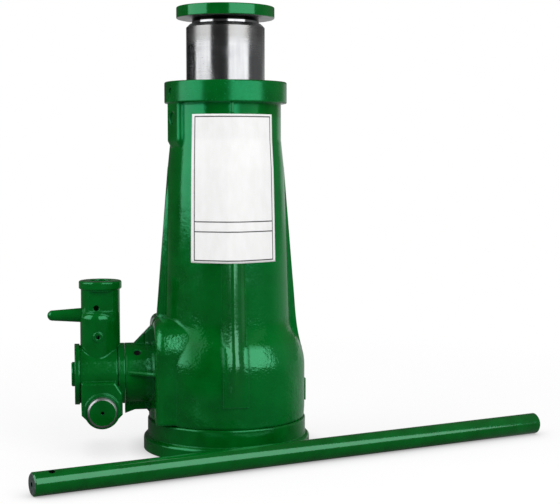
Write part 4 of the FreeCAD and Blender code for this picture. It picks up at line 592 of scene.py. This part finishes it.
def ground_steel():
    """Ground sleeve: fine rings round Z, upright scuffs from the guide bore, dull stains and darker scuffs at
    its top.
    """
    finish = Finish("ground_steel")
    rings = finish.noise(30.0, 6.0, (1.0, 1.0, 90.0))
    scuffs = finish.noise(260.0, 3.0, (1.0, 1.0, 0.04))
    stains = finish.span(finish.noise(65.0, 5.0, (1.0, 1.0, 0.6)), 0.46, 0.70, 0.0, 0.16)
    top_band = finish.above(finish.axis("Z"), *SLEEVE_DARK_TOP_FOOT)
    colour = finish.shades(scuffs, srgb(160, 161, 163), srgb(180, 181, 183), high=0.75)
    # The scuffs are darker on the sleeve's top band
    colour = finish.mix(finish.math("MULTIPLY", top_band, scuffs), colour, srgb(134, 133, 130))
    finish.set(Base_Color=colour, Metallic=1.0, Normal=finish.bump(rings, 0.05, 0.0001),
               Roughness=finish.math("ADD", finish.vary(rings, 0.13, 0.22), stains))
    return finish.material


def machined_steel(name="machined_steel", light=STEEL_LIGHT, dim=STEEL_DIM, rough=(0.25, 0.42)):
    """Plain machined steel with a fine uneven grain and a thin film of oil."""
    finish = Finish(name)
    cloud = finish.noise(90.0, 5.0)
    grain = finish.noise(1800.0, 2.0)
    finish.set(Base_Color=finish.shades(cloud, dim, light), Metallic=1.0,
               Roughness=finish.vary(cloud, *rough), Normal=finish.bump(grain, 0.15, 0.00005))
    return finish.material


def bronze():
    """Cast and bored bronze, a little browned."""
    finish = Finish("bearing_bronze")
    cloud = finish.noise(110.0, 5.0)
    grain = finish.noise(1500.0, 2.0)
    finish.set(Base_Color=finish.shades(cloud, srgb(150, 106, 58), srgb(196, 150, 88)), Metallic=1.0,
               Roughness=finish.vary(cloud, 0.28, 0.45), Normal=finish.bump(grain, 0.12, 0.00005))
    return finish.material


def felt():
    """Pressed grey felt with short fibres."""
    finish = Finish("wiper_felt")
    fibres = finish.noise(2600.0, 6.0)
    finish.set(Base_Color=finish.shades(fibres, srgb(46, 44, 42), srgb(92, 89, 84)), Roughness=0.95,
               Sheen_Weight=0.4, Normal=finish.bump(fibres, 0.7, 0.0004))
    return finish.material


def sticker_sheet():
    """White vinyl on the sheet's own map: a thin grey border line and two rules across it."""
    finish = Finish("sticker_sheet", "UV")
    tall = STICKER_HEIGHTS[1] - STICKER_HEIGHTS[0]
    wide = sum(STICKER_HALF_WIDTHS) / 2.0
    side = finish.math("MULTIPLY", finish.aside("X"), wide)
    height = finish.math("MULTIPLY", finish.axis("Y"), tall)
    off_middle = finish.math("ABSOLUTE", finish.math("SUBTRACT", height, tall / 2.0))
    from_side = finish.math("SUBTRACT", side, wide - STICKER_SIDE_BORDER)
    from_end = finish.math("SUBTRACT", off_middle, tall / 2.0 - STICKER_END_BORDER)
    from_border = finish.math("MAXIMUM", from_side, from_end)
    inside = finish.below(from_border, 0.0)
    lines = finish.below(finish.math("ABSOLUTE", from_border), STICKER_LINE / 2.0)
    for rule in STICKER_RULES:
        off_rule = finish.math("ABSOLUTE", finish.math("SUBTRACT", height, rule - STICKER_HEIGHTS[0]))
        drawn = finish.math("MULTIPLY", finish.below(off_rule, STICKER_LINE / 2.0), inside)
        lines = finish.math("MAXIMUM", lines, drawn)
    cloud = finish.noise(6.0, 3.0)
    sheet = finish.shades(cloud, srgb(243, 243, 242), srgb(250, 250, 250))
    waves = finish.noise(40.0, 3.0)
    finish.set(Base_Color=finish.mix(lines, sheet, srgb(62, 63, 66)), IOR=1.45,
               Roughness=finish.vary(cloud, 0.32, 0.42), Normal=finish.bump(waves, 0.08, 0.0002))
    return finish.material


FINISHES = {
    "paint": cast_paint(),
    "steel": machined_steel(),
    "dark_steel": machined_steel("dark_oxide_steel", srgb(70, 70, 74), srgb(44, 44, 47), (0.35, 0.55)),
    "bronze": bronze(),
    "felt": felt(),
}
OWN_FINISHES = {
    "main_housing": housing_paint(),
    "lifting_sleeve": ground_steel(),
    "guide_key_screw": FINISHES["paint"],
    "oil_screw": FINISHES["paint"],
    "head_cap": part_painted("cap_green_paint", CAP_GRAIN, cap_bare, cap_neck_shade, cap_underside),
    "pinion_shaft": part_painted("shaft_end_paint", END_GRAIN, shaft_bare),
    "shift_pin": part_painted("pin_end_paint", END_GRAIN, pin_bare, pin_mark_shade, rough=PIN_ROUGHNESS),
    "handle_bar": handle_paint(),
}


def finish_solids():
    """Gives every solid the finish of its slot, or its own."""
    for row in frame["record"]["subparts"]:
        slots = NODES[row["node"]].data.materials
        slots.clear()
        slots.append(OWN_FINISHES.get(row["node"], FINISHES[row["material_slot"]]))


def sheet_grid(columns, rows):
    """A sheet's two parameters on a grid: from -1 to 1 across it, and from 0 to 1 up it."""
    return np.meshgrid(np.linspace(-1.0, 1.0, columns), np.linspace(0.0, 1.0, rows))


def sheet_piece(name, front, back, marks, material):
    """A thin closed sheet from two grids of points: both faces, and a rim that joins their edges.

    The rim goes once round the grid's border. The map holds one pair of numbers for each grid point.
    """
    rows, columns = front.shape[:2]
    count = rows * columns
    index = np.arange(count).reshape(rows, columns)
    quads = np.stack([index[:-1, :-1], index[:-1, 1:], index[1:, 1:], index[1:, :-1]], -1).reshape(-1, 4)
    border = np.concatenate([index[0, :-1], index[:-1, -1], index[-1, :0:-1], index[:0:-1, 0]])
    after = np.roll(border, -1)
    rim = np.stack([border, border + count, after + count, after], -1)
    faces = np.concatenate([quads, quads[:, ::-1] + count, rim])
    points = np.concatenate([front.reshape(-1, 3), back.reshape(-1, 3)])
    mesh = bpy.data.meshes.new(name)
    mesh.from_pydata(points.tolist(), [], faces.tolist())
    loops = np.empty(len(mesh.loops), dtype=np.int32)
    mesh.loops.foreach_get("vertex_index", loops)
    pairs = np.concatenate([marks.reshape(-1, 2), marks.reshape(-1, 2)])
    mesh.uv_layers.new(name="sheet").data.foreach_set("uv", pairs[loops].ravel())
    mesh.polygons.foreach_set("use_smooth", np.arange(len(faces)) < len(quads))
    mesh.materials.append(material)
    piece = bpy.data.objects.new(name, mesh)
    bpy.context.collection.objects.link(piece)
    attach(piece, "frame")


def wrap(across, height, lift):
    """Points of a sheet pulled round the column and over its front rib.

    At each height the section is the taut line round two circles: the wall's, of radius R about the axis,
    and the rounded corner of the rib's crest, of radius e, whose centre lies f to the side and c out. From
    the middle the line runs flat for f and turns round the corner by psi, and it touches both circles when
    f sin psi + c cos psi = R - e. It is then straight for c sin psi - f cos psi, and after that goes round
    the wall. Above the rib only the wall is left. The lift stands the sheet off along the section's normal.
    """
    wall = np.interp(height, WALL_HEIGHTS, WALL_RADII)
    out = np.interp(height, RIB_HEIGHTS, RIB_CRESTS) - RIB_CORNER
    reach = np.hypot(RIB_FLAT, out)
    ribbed = (height < RIB_HEIGHTS[1]) & (reach > wall - RIB_CORNER)
    touch = np.arctan2(RIB_FLAT, out) + np.arccos(np.clip((wall - RIB_CORNER) / reach, -1.0, 1.0))
    touch = np.where(ribbed, touch, 0.0)
    flat = np.where(ribbed, RIB_FLAT, 0.0)
    corner = RIB_CORNER * touch
    straight = np.where(ribbed, out * np.sin(touch) - RIB_FLAT * np.cos(touch), 0.0)
    length = np.abs(across)
    on_flat = np.clip(length, 0.0, flat)
    turn = np.clip(length - flat, 0.0, corner) / RIB_CORNER
    on_line = np.clip(length - flat - corner, 0.0, straight)
    round_wall = touch + np.maximum(length - flat - corner - straight, 0.0) / wall
    on_rib = length < flat + corner + straight
    rib_side = on_flat + RIB_CORNER * np.sin(turn) + on_line * np.cos(touch)
    rib_front = out + RIB_CORNER * np.cos(turn) - on_line * np.sin(touch)
    angle = np.where(on_rib, turn, round_wall)
    side = np.where(on_rib, rib_side, wall * np.sin(round_wall)) + lift * np.sin(angle)
    front = np.where(on_rib, rib_front, wall * np.cos(round_wall)) + lift * np.cos(angle)
    return np.stack([np.sign(across) * side, -front, height], -1)


def add_sticker():
    """A blank sticker over the front rib, with its own map: a grid across and up, narrower at its top."""
    fraction, part = sheet_grid(*STICKER_GRID)
    height = np.interp(part, (0.0, 1.0), STICKER_HEIGHTS)
    across = STICKER_SHIFT + fraction * np.interp(part, (0.0, 1.0), STICKER_HALF_WIDTHS)
    sheet_piece("blank_sticker", wrap(across, height, STICKER_THICKNESS),
                wrap(across, height, -STICKER_LET_IN), np.stack([fraction, part], -1), sticker_sheet())


def add_seam():
    """The casting's parting seam under the collar: a low round ridge on the wall, highest at its middle.

    Across the seam the height follows the square root of 1 - x * x, and it sinks into the wall at its edges.
    """
    fraction, part = sheet_grid(*SEAM_GRID)
    height = np.interp(part, (0.0, 1.0), SEAM_HEIGHTS)
    across = fraction * SEAM_HALF_WIDTH
    ridge = SEAM_RISE * np.sqrt(1.0 - fraction ** 2) - SEAM_EDGE_DEPTH
    sheet_piece("casting_seam", wrap(across, height, ridge), wrap(across, height, -SEAM_BACK_DEPTH),
                np.stack([fraction, part], -1), FINISHES["paint"])


def make_camera():
    """The photograph's view: back from the jack along the azimuth, a little to the right, pitched down."""
    data = bpy.data.cameras.new("view")
    data.sensor_width = SENSOR_MM
    data.lens = LENS_MM
    camera = bpy.data.objects.new("view", data)
    right = np.array(VIEW_RIGHT)
    back = np.array([math.sin(VIEW_AZIMUTH), -math.cos(VIEW_AZIMUTH), 0.0])
    camera.location = right * VIEW_ASIDE + back * VIEW_DISTANCE + np.array([0.0, 0.0, VIEW_HEIGHT])
    camera.rotation_euler = (math.pi / 2.0 - VIEW_PITCH, 0.0, VIEW_AZIMUTH)
    bpy.context.collection.objects.link(camera)
    bpy.context.scene.camera = camera


def add_softbox(name, bearing, half_angle, brightness):
    """An upright soft lamp, at a bearing in degrees to the right of the camera as seen from the jack.

    It is as wide as twice its distance times the tangent of the half angle, and its watts are the brightness
    times pi times its area.
    """
    low, high = SOFTBOX_HEIGHTS
    data = bpy.data.lights.new(name, "AREA")
    data.shape = "RECTANGLE"
    data.size = 2.0 * SOFTBOX_DISTANCE * math.tan(math.radians(half_angle))
    data.size_y = high - low
    data.energy = brightness * math.pi * data.size * data.size_y
    lamp = bpy.data.objects.new(name, data)
    angle = VIEW_AZIMUTH + math.radians(bearing)
    lamp.location = (SOFTBOX_DISTANCE * math.sin(angle), -SOFTBOX_DISTANCE * math.cos(angle),
                     (low + high) / 2.0)
    lamp.rotation_euler = (math.pi / 2.0, 0.0, angle)
    lamp.visible_camera = False
    bpy.context.collection.objects.link(lamp)


def make_surround():
    """The studio: white to the camera, dim in gloss but for the backdrop's foot, and even light else."""
    world = bpy.context.scene.world or bpy.data.worlds.new("studio")
    bpy.context.scene.world = world
    world.use_nodes = True
    world.cycles.sampling_method = "NONE"
    world.node_tree.nodes.clear()
    nodes = Nodes(world.node_tree, "Generated")
    seen, glossy = nodes.rays()
    towards = nodes.along(ORIGIN, BACKDROP_WAY)
    dim = nodes.span(nodes.along(ORIGIN, VIEW_RIGHT), *GLOSS_REACH, *GLOSS_LIGHT)
    foot = nodes.span(nodes.axis("Z"), *BACKDROP_RISE, BACKDROP_LIGHT, dim)
    backdrop = nodes.span(towards, *BACKDROP_REACH, dim, foot)
    even = nodes.span(towards, *EVEN_REACH, *EVEN_LIGHT)
    strength = nodes.math("MAXIMUM", seen, nodes.between(glossy, even, backdrop))
    sky = nodes.add("ShaderNodeBackground", None, Color=WHITE, Strength=strength)
    nodes.add("ShaderNodeOutputWorld", None, Surface=sky.outputs["Background"])


def floor_finish():
    """Pale grey that takes the jack's shadow, under a white glow that hides it further off and holds a
    painted shadow near the jack.
    """
    finish = Finish("studio_floor")
    seen, glossy = finish.rays()
    away = finish.off_line(*UPRIGHT_AXIS)
    finish.set(Base_Color=finish.mix(seen, srgb(168, 168, 168), srgb(250, 250, 250)), Roughness=0.9,
               Specular_IOR_Level=0.0)
    to_camera = finish.math("MULTIPLY", seen, finish.span(away, *SHADOW_FADE, *FLOOR_WHITENESS))
    cover = finish.math("ADD", to_camera, finish.math("MULTIPLY", glossy, FLOOR_GLOSS_SHARE))
    towards = finish.math("DIVIDE", finish.along(ORIGIN, BACKDROP_WAY), away)
    in_gloss = finish.span(towards, *FLOOR_GLOSS_REACH, *FLOOR_GLOSS_LIGHT)
    # Painted shadow: the white glow is dimmed where the floor is closed in, close under the jack
    openness = finish.add("ShaderNodeAmbientOcclusion", {"samples": 16}, Distance=CONTACT_SHADOW_DISTANCE)
    painted_shadow = finish.span(openness.outputs["AO"], *CONTACT_SHADOW_OPENNESS, *CONTACT_SHADOW_LIGHT)
    brightness = finish.between(glossy, painted_shadow, in_gloss)
    glow = finish.add("ShaderNodeEmission", None, Color=WHITE, Strength=brightness)
    blend = finish.add("ShaderNodeMixShader")
    for socket, value in zip(blend.inputs, (cover, finish.shader.outputs["BSDF"], glow.outputs["Emission"])):
        finish.feed(socket, value)
    finish.feed(finish.tree.nodes["Material Output"].inputs["Surface"], blend.outputs["Shader"])
    return finish.material


def make_floor():
    """A plain square floor about the foot."""
    mesh = bpy.data.meshes.new("studio_floor")
    corners = np.array([[-1, -1, 0], [1, -1, 0], [1, 1, 0], [-1, 1, 0]]) * FLOOR_HALF_SIDE
    mesh.from_pydata(corners.tolist(), [], [(0, 1, 2, 3)])
    mesh.materials.append(floor_finish())
    floor = bpy.data.objects.new("studio_floor", mesh)
    bpy.context.collection.objects.link(floor)


finish_solids()
add_sticker()
add_seam()
make_camera()
make_surround()
make_floor()
add_softbox("left_softbox", bearing=-67.0, half_angle=26.0, brightness=1.93)
add_softbox("right_softbox", bearing=41.5, half_angle=30.5, brightness=2.05)
bpy.context.scene.view_settings.view_transform = "Standard"
